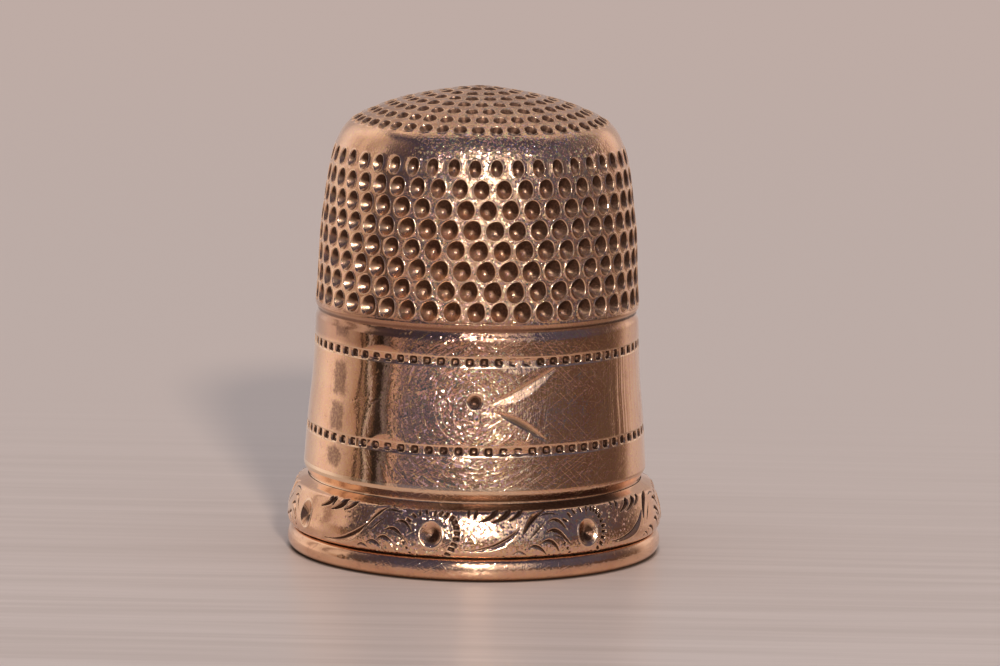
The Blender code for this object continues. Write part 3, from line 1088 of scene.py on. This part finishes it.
class Tree:
    """Short-hand for building a node tree."""

    def __init__(self, owner):
        owner.use_nodes = True
        self.nodes, self.links = owner.node_tree.nodes, owner.node_tree.links

    def put(self, socket, value):
        if isinstance(value, Value):
            self.links.new(value.socket, socket)
        else:
            socket.default_value = (*value, 1.0) if socket.type == "RGBA" else value

    def new(self, kind, inputs=(), **settings):
        """A node; inputs maps sockets, by name or number, to numbers, colours or Values."""
        node = self.nodes.new("ShaderNode" + kind)
        for name, setting in settings.items():
            setattr(node, name, setting)
        for key, value in dict(inputs).items():
            self.put(node.inputs[key], value)
        return node

    def value(self, kind, inputs=(), output=0, **settings):
        return Value(self, self.new(kind, inputs, **settings).outputs[output])

    def math(self, operation, *inputs):
        return self.value("Math", dict(enumerate(inputs)), operation=operation)

    def vector(self, x, y, z):
        return self.value("CombineXYZ", {0: x, 1: y, 2: z})

    def vector_math(self, operation, inputs, output=0):
        return self.value("VectorMath", inputs, output, operation=operation)

    def split(self, value, kind="SeparateXYZ"):
        return [Value(self, socket) for socket in self.new(kind, {0: value}).outputs]

    def noise(self, vector, scale, detail=2.0, rough=0.5, distortion=0.0):
        inputs = {"Vector": vector, "Scale": scale, "Detail": detail, "Roughness": rough}
        return self.value("TexNoise", {**inputs, "Distortion": distortion}, "Fac")

    def voronoi(self, vector, scale):
        return self.value("TexVoronoi", {"Vector": vector, "Scale": scale}, "Color")

    def mix(self, factor, first, second, blend="MIX"):
        inputs = {0: factor, 6: first, 7: second}
        return self.value("Mix", inputs, 2, data_type="RGBA", blend_type=blend)

    def mix_shader(self, factor, first, second):
        return self.value("MixShader", {0: factor, 1: first, 2: second})


# ---------------------------------------------------------------------------- rose gold

GOLD, DEEP_GOLD = (0.89, 0.555, 0.355), (0.83, 0.485, 0.305)
STAIN = (0.44, 0.22, 0.15)
SPECK_YELLOW, SPECK_PINK = (0.95, 0.76, 0.34), (0.84, 0.44, 0.52)
FLAT_YELLOW, FLAT_PINK = (0.98, 0.76, 0.37), (0.92, 0.52, 0.50)
FLAT_GREEN, FLAT_VIOLET = (0.66, 0.74, 0.46), (0.62, 0.52, 0.74)
PATINA_AND_SHADE, PALE_PATINA_AND_SHADE = (0.030, 0.012, 0.007), (0.085, 0.037, 0.021)
RUBBED_GOLD_HIGHLIGHT = (1.0, 0.74, 0.52)
CAP_BROWN, BAND_BROWN, DARK_REFLECTION = (0.36, 0.19, 0.12), (0.40, 0.20, 0.13), (0.22, 0.115, 0.08)
# (low, high) heights of the pieces of the painted dark reflection streak
STREAK_PIECES = ((10.62, 11.05), (7.86, 9.42), (6.18, 7.46), (4.50, 5.36))
# Hair scratches in the relief: turn in radians, weight
HAIR_SCRATCHES = ((0.5, 0.34), (-0.75, 0.32), (1.35, 0.26), (-0.2, 0.20))


class RoseGold:
    """Worn rose gold: brown patina and painted shade in recesses, rubbed edges painted light as a
    highlight, fine scratches, slow colour drift.

    rough is the base roughness, glint the strength of the glitter and matt the extra roughness
    at the very front. cup adds what only the cup has.
    """

    def __init__(self, name, rough, cup=False, glint=1.0, matt=0.0):
        self.material = bpy.data.materials.new(name)
        self.rough, self.cup, self.glint, self.matt = rough, cup, glint, matt
        tree = self.tree = Tree(self.material)
        coord = tree.value("TexCoord", output="Object")
        self.pos = tree.vector_math("SCALE", {0: coord, "Scale": 1.0 / MM})
        x, y, z = tree.split(self.pos)
        self.z = z - DATUM
        self.angle = tree.math("ARCTAN2", x, y * -1.0)
        self.round_mm = self.angle * 8.0
        self.cav = tree.value("Attribute", output="Fac", attribute_name="cav")
        self.edge = tree.value("Attribute", output="Fac", attribute_name="edge")
        self.stain = tree.noise(self.pos, scale=1.9, detail=4.0, rough=0.65, distortion=0.4)
        if cup:
            self.on_wall = self.z.ramp(11.60, 11.80)
        # the front and, less so, the back are the worn sides
        left = -34 if cup else -44
        front = self.angle.ramp_deg(left, left + 18) * self.angle.ramp_deg(68, 40)
        back = abs(self.angle).ramp_deg(100, 120, high=0.7)
        self.front = tree.math("MAXIMUM", front, back)

        self.make_flats()
        bsdf = self.material.node_tree.nodes["Principled BSDF"]
        tree.put(bsdf.inputs["Base Color"], self.colour())
        tree.put(bsdf.inputs["Metallic"], 1.0 - self.grime_and_shade * 0.15)
        tree.put(bsdf.inputs["Roughness"], self.roughness())
        tree.put(bsdf.inputs["Normal"], self.normal())

    def below_wall(self):
        return self.z.ramp(11.75, 11.65)

    def turned_axes(self, turn):
        """Distances along and across a direction on the unrolled surface."""
        along = self.round_mm * cos(turn) + self.z * sin(turn)
        return along, self.z * cos(turn) - self.round_mm * sin(turn)

    def make_flats(self):
        """Glitter: tiny flats left by wear, each with its own random colour, used as a turn."""
        tree = self.tree
        self.flats = tree.voronoi(self.pos, scale=11.0)
        if self.cup:
            # on the band they run together into short strokes, curved about a point at the front
            rise = self.z - 8.05
            squares = self.round_mm * self.round_mm + rise * rise
            self.radius = tree.math("SQRT", squares)
            self.turned = tree.math("ARCTAN2", rise, self.round_mm)
            arc_pos = tree.vector(self.radius * 12.0, self.turned * 5.5, 0.3)
            arcs = tree.voronoi(arc_pos, scale=1.0)
            along, across = self.turned_axes(0.62)
            straight = tree.voronoi(tree.vector(along * 3.2, across * 12.0, 4.1), scale=1.0)
            which = tree.noise(self.pos, scale=4.0, detail=2.0, rough=0.6).ramp(0.49, 0.53)
            strokes = tree.mix(which, arcs, straight)
            broken = tree.noise(self.pos, scale=5.0, detail=2.0, rough=0.6, distortion=0.3)
            strokes = tree.mix(broken.ramp(0.54, 0.58), strokes, self.flats)
            self.flats = tree.mix(self.below_wall(), self.flats, strokes)
        self.chance = tree.split(self.flats, "SeparateColor")
        self.lot = tree.math("POWER", self.chance[1 if self.cup else 0], 1.3)
        rubbed_and_highlight = self.edge.ramp(0.30, 0.05)
        self.shine = self.front.times_plus(0.93, 0.07) * (self.cav.ramp(0.20, 0.05) * rubbed_and_highlight)
        if self.cup:
            # less on the right of the band, where the satin lines are still sharp
            right_side = self.angle.ramp_deg(1, 23) * self.below_wall()
            self.shine = self.shine * (1.0 - right_side * 0.66)

    def colour(self):
        tree, pos, stain, chance = self.tree, self.pos, self.stain, self.chance
        drift = tree.noise(pos, scale=0.55, detail=3.0, rough=0.6)
        fine = tree.noise(pos, scale=9.0, detail=3.0, rough=0.7)
        speck = tree.noise(pos, scale=14.0, detail=1.0, rough=0.5)
        hue = tree.noise(pos, scale=9.0, detail=1.0, rough=0.5)
        colour = tree.mix(drift.ramp(0.35, 0.65), GOLD, DEEP_GOLD)
        colour = tree.mix(stain.ramp(0.54, 0.74, high=0.45), colour, STAIN)
        warm = tree.mix(hue.ramp(0.42, 0.58), SPECK_YELLOW, SPECK_PINK)
        colour = tree.mix(speck.ramp(0.50, 0.64, high=0.45 * self.glint), colour, warm)
        # the flats
        tinted = tree.mix(chance[0 if self.cup else 1].ramp(0.30, 0.70), FLAT_YELLOW, FLAT_PINK)
        tinted = tree.mix(chance[2].ramp(0.78, 0.84), tinted, FLAT_GREEN)
        tinted = tree.mix(chance[2].ramp(0.20, 0.14), tinted, FLAT_VIOLET)
        colour = tree.mix(self.lot * self.shine * (0.75 * self.glint), colour, tinted)
        # patina in the recesses, with painted shade on the pits' shaded sides, by the rim and under
        # the foot; rubbed edges painted light as a highlight
        dark = tree.mix(fine.ramp(0.35, 0.65), PATINA_AND_SHADE, PALE_PATINA_AND_SHADE)
        held_dirt_and_shade = self.cav * stain.ramp(0.25, 0.70, low=0.85, high=1.05)
        self.grime_and_shade = held_dirt_and_shade.ramp(0.10, 0.70) * 0.97
        colour = tree.mix(self.grime_and_shade, colour, dark)
        # painted highlight: rubbed edges and lips are painted a lighter gold
        colour = tree.mix(self.edge * 0.90, colour, RUBBED_GOLD_HIGHLIGHT)
        return self.cup_browns(colour, fine) if self.cup else colour

    def cup_browns(self, colour, fine):
        tree, z, angle = self.tree, self.z, self.angle
        # the cap between the pits' lips
        between = z.ramp(20.25, 20.65) * self.edge.ramp(0.55, 0.10)
        between = between * self.stain.ramp(0.35, 0.60, low=0.20, high=0.62)
        colour = tree.mix(between, colour, CAP_BROWN)
        # between the cove and the upper beads
        upper = z.ramp(10.15, 10.45) * z.ramp(12.0, 11.75)
        upper = upper * angle.ramp_deg(30, 8, low=0.15, high=0.62)
        colour = tree.mix(upper, colour, BAND_BROWN)
        # a painted dark reflection: a broken upright dark streak on the left of the band
        wobble = tree.noise(self.pos, scale=2.6, detail=3.0, rough=0.7)
        ragged = angle * 57.2958 + wobble.ramp(0.2, 0.8, low=-1.1, high=1.1)
        across = ragged.ramp(-59.6, -57.0) * ragged.ramp(-50.2, -52.2)
        wobble = tree.noise(self.pos, scale=3.0, detail=3.0, rough=0.7)
        rough_z = z + wobble.ramp(0.2, 0.8, low=-0.12, high=0.12)
        soft = 0.16
        pieces = None
        for low, high in STREAK_PIECES:
            piece = rough_z.ramp(low - soft, low + soft) * rough_z.ramp(high + soft, high - soft)
            pieces = piece if pieces is None else tree.math("MAXIMUM", pieces, piece)
        streak = across * pieces * fine.ramp(0.30, 0.62, low=0.50, high=0.85)
        return tree.mix(streak, colour, DARK_REFLECTION)

    def roughness(self):
        z, angle, rough = self.z, self.angle, self.rough
        total = self.stain.ramp(0.3, 0.7, low=rough - 0.02, high=rough + 0.04)
        total = total + self.grime_and_shade * 0.20
        total = total + self.edge * 0.06
        total = total + abs(angle).ramp_deg(13, 3, high=self.matt)
        total = total + self.front.times_plus(0.03, -0.02)
        if self.cup:
            total = total + self.on_wall * self.cav.ramp(0.02, 0.12, low=0.03, high=0.16)
            total = total + z.ramp(18.9, 19.6) * z.ramp(21.3, 20.9) * 0.03  # the shoulder
            flank = angle.ramp_deg(-18, -26) * self.below_wall()
            total = total - flank * 0.035
            # the dimpled wall is rubbed matt where it faces the light
            facing = abs(angle - radians(4)).ramp_deg(20, 7) * self.on_wall
            facing = facing * (self.cav.ramp(0.06, 0.0) * z.ramp(19.75, 19.35))
            total = total + facing * 0.14
        return self.tree.math("MAXIMUM", total, 0.045)

    def relief(self):
        """Heights too fine for the mesh: pitting, knocks and cross-cutting hair scratches."""
        tree, pos, z, glint = self.tree, self.pos, self.z, self.glint
        worked = self.front.times_plus(0.88, 0.12)
        dots = tree.noise(pos, scale=9.0, detail=1.5, rough=0.6).ramp(0.54, 0.66)
        lumps = tree.noise(pos, scale=10.0, detail=1.0, rough=0.5)
        heights = lumps * self.front.times_plus(0.27 * glint, 0.18 * glint)
        if self.cup:
            heights = heights * self.on_wall.times_plus(2.2, 0.55)
            dots = dots * (self.on_wall * 0.75 + 0.30)
        else:
            dots = dots * (0.30 * glint)
        heights = heights - dots * worked
        for turn, weight in HAIR_SCRATCHES:
            along, across = self.turned_axes(turn)
            stretched = tree.vector(along * 0.6, across * 9.0, turn * 7.0)
            line = tree.noise(stretched, scale=1.0, detail=1.0, rough=0.5).ramp(0.60, 0.68)
            heights = heights - line * weight * worked
        if self.cup:
            # arcs about the drilled dot
            stretched = tree.vector(self.radius * 7.5, self.turned * 1.6, 9.1)
            swirl = tree.noise(stretched, scale=1.0, detail=1.0, rough=0.5).ramp(0.55, 0.63)
            swirl = swirl * (self.radius.ramp(0.5, 0.9) * self.radius.ramp(4.2, 2.8))
            heights = heights - swirl * (z.ramp(10.8, 10.4) * 0.55)
            # upright satin lines, worn away on the left of the front
            stretched = tree.vector(self.round_mm * 6.5, z * 0.10, 3.7)
            satin = tree.noise(stretched, scale=1.0, detail=1.0, rough=0.5)
            inside = z.ramp(6.00, 6.12) * z.ramp(9.78, 9.66)
            right, left = self.angle.ramp_deg(-24, 2), self.angle.ramp_deg(-88, -104)
            inside = inside * tree.math("MAXIMUM", right, left)
            heights = heights + satin * (inside * 2.3)
        return heights

    def normal(self):
        tree, z = self.tree, self.z
        inputs = {"Strength": 1.0, "Distance": 0.0085 * MM, "Height": self.relief()}
        bump = tree.value("Bump", inputs, "Normal")
        # the flats turn the surface by a few degrees, here and there by twenty
        lean = tree.vector_math("SUBTRACT", {0: self.flats, 1: (0.5, 0.5, 0.5)})
        amount = self.lot * self.shine * (0.85 * self.glint)
        if self.cup:
            shoulder = z.ramp(19.45, 19.90, low=1.0, high=0.12)
            amount = amount * (shoulder + z.ramp(20.3, 20.8, high=0.55))
            amount = amount * z.ramp(11.65, 11.75, low=0.72, high=1.08)
        else:
            amount = amount * self.angle.ramp_deg(-14, -5, low=1.45, high=1.0)
        turned = tree.vector_math("SCALE", {0: lean, "Scale": amount})
        return tree.vector_math("NORMALIZE", {0: tree.vector_math("ADD", {0: bump, 1: turned})})


cup_gold = RoseGold("rose_gold_cup", rough=0.10, cup=True)
cup_obj = build_cup().build("gold_cup_detailed", cup_gold.material)
rim_gold = RoseGold("rose_gold_rim", rough=0.11, glint=0.72)
rim_obj = build_rim().build("gold_rim_engraved", rim_gold.material)
foot_gold = RoseGold("rose_gold_foot", rough=0.075, glint=0.2, matt=0.11)
foot_obj = build_foot().build("gold_foot_ring", foot_gold.material)
for obj, node, slot in (
    (cup_obj, "dimpled_cup", "cup_gold"),
    (rim_obj, "applied_rim", "rim_gold"),
    (foot_obj, "foot_ring", "foot_gold"),
):
    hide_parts(node)
    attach(obj, "root")

# ---------------------------------------------------------------------------- surroundings

BACKDROP = (0.515, 0.411, 0.376)
BLACK = (0.0, 0.0, 0.0)

# What polished metal sees round about it: (degrees from the camera's side, red, green, blue).
# The pale table in front of the foot:
TABLE = [
    (-180, 0.48, 0.36, 0.3), (-165, 0.5, 0.4, 0.35), (-126, 0.56, 0.46, 0.4),
    (-100, 0.47, 0.37, 0.33), (-70, 0.5, 0.369, 0.312), (0, 0.582, 0.447, 0.383),
    (45, 0.486, 0.358, 0.304), (85, 0.333, 0.236, 0.196), (108, 0.22, 0.155, 0.125),
    (126, 0.25, 0.18, 0.15), (145, 0.42, 0.33, 0.29), (180, 0.47, 0.36, 0.3),
]
# The level of the horizon:
HORIZON = [
    (-180, 0.55, 0.46, 0.43), (-160, 0.57, 0.5, 0.47), (-150, 0.62, 0.54, 0.5),
    (-140, 0.75, 0.67, 0.62), (-130, 0.92, 0.81, 0.75), (-118, 0.88, 0.76, 0.7),
    (-112, 0.8, 0.69, 0.63), (-104, 0.588, 0.496, 0.445), (-99, 0.538, 0.445, 0.395),
    (-93, 0.432, 0.324, 0.261), (-90, 0.4, 0.29, 0.23), (-88.6, 0.07, 0.05, 0.04),
    (-87, 0.07, 0.05, 0.04), (-85.8, 0.36, 0.26, 0.2), (-84.6, 0.34, 0.25, 0.2),
    (-83.4, 0.03, 0.025, 0.02), (-81.6, 0.03, 0.025, 0.02), (-80.4, 0.6, 0.56, 0.55),
    (-79, 0.58, 0.54, 0.53), (-77.8, 0.15, 0.1, 0.08), (-75, 0.16, 0.11, 0.085),
    (-73.6, 0.03, 0.025, 0.022), (-68.4, 0.03, 0.025, 0.022), (-67, 0.2, 0.19, 0.21),
    (-64, 0.22, 0.2, 0.22), (-62.8, 0.04, 0.03, 0.03), (-61.6, 0.05, 0.035, 0.03),
    (-60.2, 0.3, 0.21, 0.17), (-59, 0.58, 0.44, 0.38), (-54.4, 0.52, 0.4, 0.35),
    (-53, 0.15, 0.134, 0.179), (-40, 0.17, 0.17, 0.241), (-28, 0.145, 0.134, 0.162),
    (-20, 0.15, 0.129, 0.134), (0, 0.19, 0.16, 0.157), (20, 0.18, 0.144, 0.134),
    (40, 0.145, 0.111, 0.101), (60, 0.121, 0.091, 0.0833), (80, 0.103, 0.0688, 0.0602),
    (110, 0.12, 0.086, 0.0731), (120, 0.22, 0.16, 0.13), (126, 0.48, 0.39, 0.35),
    (133, 0.62, 0.52, 0.48), (150, 0.57, 0.48, 0.45), (180, 0.55, 0.46, 0.43),
]
# The wall and window light above it, and higher still:
SKY = [
    (-180, 0.46, 0.39, 0.37), (-160, 0.48, 0.42, 0.4), (-152, 0.74, 0.66, 0.63),
    (-141, 0.92, 0.84, 0.81), (-134, 0.88, 0.8, 0.76), (-126, 0.84, 0.74, 0.68),
    (-122.5, 0.5, 0.42, 0.38), (-120, 0.5, 0.42, 0.38), (-117, 0.78, 0.68, 0.62),
    (-109, 0.74, 0.64, 0.58), (-105, 0.34, 0.26, 0.23), (-102, 0.34, 0.26, 0.23),
    (-99, 0.62, 0.52, 0.48), (-88, 0.72, 0.63, 0.58), (-84, 0.3, 0.25, 0.23),
    (-81, 0.1, 0.085, 0.09), (-58, 0.07, 0.06, 0.09), (-45, 0.08, 0.085, 0.15),
    (0, 0.09, 0.1, 0.18), (45, 0.09, 0.105, 0.19), (84, 0.1, 0.1, 0.16),
    (100, 0.1, 0.075, 0.085), (113, 0.13, 0.1, 0.1), (121, 0.3, 0.24, 0.22),
    (129, 0.62, 0.52, 0.48), (138, 0.84, 0.73, 0.68), (150, 0.82, 0.72, 0.67),
    (156, 0.5, 0.43, 0.4), (180, 0.46, 0.39, 0.37),
]
UPPER = [
    (-180, 0.62, 0.55, 0.52), (-152, 0.62, 0.54, 0.51), (-146, 0.66, 0.58, 0.55),
    (-141, 0.88, 0.8, 0.78), (-134, 1, 0.92, 0.9), (-122, 0.9, 0.8, 0.74),
    (-113, 0.74, 0.64, 0.58), (-104, 0.48, 0.4, 0.36), (-95, 0.54, 0.46, 0.43),
    (-87, 0.3, 0.26, 0.26), (-79, 0.12, 0.1, 0.12), (-58, 0.07, 0.065, 0.1),
    (0, 0.085, 0.1, 0.18), (60, 0.09, 0.1, 0.18), (90, 0.1, 0.1, 0.14),
    (128, 0.2, 0.165, 0.165), (137, 0.42, 0.36, 0.34), (148, 0.52, 0.46, 0.43),
    (156, 0.58, 0.51, 0.48), (180, 0.62, 0.55, 0.52),
]


def towards(azimuth, height):
    """Unit direction at an azimuth from the camera's side and a height, in degrees."""
    azimuth, height = radians(azimuth), radians(height)
    return sin(azimuth) * cos(height), -cos(azimuth) * cos(height), sin(height)


def around(tree, azimuth, table):
    """Colour round the horizon from one table, joined by straight lines."""
    turn = azimuth.ramp(-pi, pi, kind="LINEAR")
    channels = {}
    for channel in range(3):
        node = tree.new("FloatCurve", {"Value": turn})
        curve = node.mapping.curves[0]
        points = [((row[0] + 180.0) / 360.0, row[channel + 1]) for row in table]
        curve.points[0].location = points[0]
        curve.points[1].location = points[-1]
        for point in points[1:-1]:
            curve.points.new(*point)
        for point in curve.points:
            point.handle_type = "VECTOR"
        node.mapping.update()
        channels[channel] = Value(tree, node.outputs["Value"])
    return tree.value("CombineColor", channels)


def surroundings(tree, direction):
    """Colour of the room in a direction, for reflections only."""
    dir_x, dir_y, dir_z = tree.split(direction)
    azimuth = tree.math("ARCTAN2", dir_x, dir_y * -1.0)
    height = tree.math("ARCSINE", dir_z)
    wavy = tree.noise(direction, scale=5.0, detail=2.0, rough=0.6)
    lifted = height + wavy.ramp(0.3, 0.7, low=-0.04, high=0.04)
    table, horizon = around(tree, azimuth, TABLE), around(tree, azimuth, HORIZON)
    colour = tree.mix(height.ramp_deg(-15, -8), table, horizon)
    colour = tree.mix(lifted.ramp_deg(0, 7), colour, around(tree, azimuth, SKY))
    colour = tree.mix(lifted.ramp_deg(22, 29), colour, around(tree, azimuth, UPPER))
    # overhead: dark, but for a pale patchy strip running back from the top
    strip = abs(dir_x).ramp(0.66, 0.44) * dir_y.ramp(-0.02, 0.15)
    patchy = tree.noise(direction, scale=9.0, detail=3.0, rough=0.6).ramp(0.36, 0.62)
    pale = tree.mix(patchy, (0.26, 0.22, 0.20), (1.10, 0.98, 0.90))
    overhead = tree.mix(strip, (0.060, 0.062, 0.115), pale)
    colour = tree.mix(lifted.ramp_deg(40, 47), colour, overhead)
    # the sky is paler round the light
    halo = tree.vector_math("DOT_PRODUCT", {0: direction, 1: towards(17.0, 24.0)}, "Value")
    halo = tree.math("POWER", halo.ramp(0.86, 1.0, kind="LINEAR"), 1.6)
    halo = halo * height.ramp_deg(39, 30)
    colour = tree.mix(1.0, colour, tree.mix(halo, BLACK, (1.0, 0.97, 0.92)), "ADD")
    # and the light has its own soft edge
    core = tree.vector_math("DOT_PRODUCT", {0: direction, 1: towards(4.5, 24.0)}, "Value")
    core = core.ramp(cos(radians(9.5)), cos(radians(3.5)))
    colour = tree.mix(1.0, colour, tree.mix(core, BLACK, (1.9, 1.8, 1.66)), "ADD")
    return tree.mix(height.ramp_deg(-75, -35, low=0.78), BLACK, colour)


# ---------------------------------------------------------------------------- floor


def floor_object():
    """A wide pale disc, finer towards its middle, a hair below the foot."""
    floor_z = TABLE_Z - 0.00001
    verts = [(AXIS_X, AXIS_Y, floor_z)]
    cols = 72
    radii = [0.6 * SIZE, 1.5 * SIZE, 4 * SIZE, 12 * SIZE, 60.0 * SIZE]
    for radius in radii:
        for k in range(cols):
            turn = TAU * k / cols
            verts.append((AXIS_X + radius * cos(turn), AXIS_Y + radius * sin(turn), floor_z))
    faces = fan_tris(cols).tolist() + (1 + ring_quads(len(radii), cols)).tolist()
    mesh = bpy.data.meshes.new("pale_floor")
    mesh.from_pydata(verts, [], faces)
    return link_object("pale_floor", mesh)


def floor_material():
    """Faintly grained and pale, fading to the backdrop; reflections see the room instead."""
    material = bpy.data.materials.new("pale_floor")
    tree = Tree(material)
    nodes = material.node_tree.nodes
    bsdf = nodes["Principled BSDF"]
    x, y, _ = tree.split(tree.value("NewGeometry", output="Position"))
    dist = tree.math("SQRT", x * x + y * y)
    stretched = tree.vector(x * (30.0 / SIZE * 0.034), y * (900.0 / SIZE * 0.034), 0.0)
    grain = tree.noise(stretched, scale=1.0, detail=3.0, rough=0.6)
    grain = (grain - 0.5).times_plus(y.ramp(1.6 * SIZE, -0.9 * SIZE), 0.5)
    tone = tree.mix(grain.ramp(0.3, 0.7), (0.575, 0.48, 0.44), (0.675, 0.575, 0.535))
    # painted contact shadow: a dark ring on the floor round the foot
    tone = tree.mix(dist.ramp(8.72 * MM, 9.02 * MM), (0.16, 0.11, 0.085), tone)
    tree.put(bsdf.inputs["Base Color"], tone)
    tree.put(bsdf.inputs["Roughness"], 0.34)
    tree.put(bsdf.inputs["Specular IOR Level"], 0.35)
    surface = Value(tree, bsdf.outputs["BSDF"])
    backdrop = tree.value("Emission", {"Color": BACKDROP})
    far = tree.mix_shader(dist.ramp(2.0 * SIZE, 9.0 * SIZE), surface, backdrop)
    incoming = tree.value("NewGeometry", output="Incoming")
    onward = tree.vector_math("SCALE", {0: incoming, "Scale": -1.0})
    room = tree.value("Emission", {"Color": surroundings(tree, onward)})
    near = tree.mix_shader(dist.ramp(0.29 * SIZE, 0.50 * SIZE), surface, room)
    glossy = tree.value("LightPath", output="Is Glossy Ray")
    both = tree.mix_shader(glossy, far, near)
    tree.put(nodes["Material Output"].inputs["Surface"], both)
    return material


floor = floor_object()
floor.data.materials.append(floor_material())

# ---------------------------------------------------------------------------- world and lights


def make_world():
    """The room for glossy rays, the backdrop for the camera and an even fill for the rest."""
    world = bpy.data.worlds.new("studio")
    bpy.context.scene.world = world
    tree = Tree(world)
    tree.nodes.clear()
    room_colour = surroundings(tree, tree.value("TexCoord", output="Generated"))
    path = tree.new("LightPath")
    room = tree.value("Background", {"Color": room_colour})
    fill = tree.value("Background", {"Color": (0.56, 0.565, 0.60)})
    backdrop = tree.value("Background", {"Color": BACKDROP})
    lit = tree.mix_shader(Value(tree, path.outputs["Is Glossy Ray"]), fill, room)
    seen = tree.mix_shader(Value(tree, path.outputs["Is Camera Ray"]), lit, backdrop)
    tree.new("OutputWorld", {"Surface": seen})


def sun(name, azimuth, height, angle, energy, colour):
    data = bpy.data.lights.new(name, "SUN")
    data.energy = energy
    data.angle = radians(angle)
    data.color = colour
    lamp = link_object(name, data)
    lamp.rotation_mode = "QUATERNION"
    lamp.rotation_quaternion = Vector(towards(azimuth, height)).to_track_quat("Z", "Y")
    return lamp


make_world()
# The key lights the table and throws the soft shadow; the polished metal mirrors the glint.
key = sun("key", azimuth=12.0, height=23.5, angle=5.5, energy=2.05, colour=(1.0, 0.845, 0.70))
key.visible_glossy = False
glint = sun("glint", azimuth=3.0, height=24.0, angle=2.8, energy=1.25, colour=(1.0, 0.95, 0.88))
glint.visible_diffuse = False

# ---------------------------------------------------------------------------- camera

TILT = radians(8.73)  # downwards
ROLL = radians(0.98)
DISTANCE = 219.42 * MM
TARGET = Vector((AXIS_X + 1.10 * MM, AXIS_Y, TABLE_Z + (DATUM + 10.17) * MM))


def make_camera():
    forward = Vector((0.0, cos(TILT), -sin(TILT)))
    level = Vector((1.0, 0.0, 0.0))
    upward = level.cross(forward)
    cam_right = level * cos(ROLL) + upward * sin(ROLL)
    cam_up = -level * sin(ROLL) + upward * cos(ROLL)
    data = bpy.data.cameras.new("camera")
    data.lens = 165.6
    data.sensor_width = 36.0
    data.clip_start = 0.01
    data.clip_end = 20.0
    camera = link_object("camera", data)
    turn = Matrix((cam_right, cam_up, -forward)).transposed()
    camera.matrix_world = Matrix.Translation(TARGET - forward * DISTANCE) @ turn.to_4x4()
    bpy.context.scene.camera = camera


make_camera()
view = bpy.context.scene.view_settings
view.view_transform = "Standard"
view.look = "None"
view.exposure = 0.0
view.gamma = 1.0
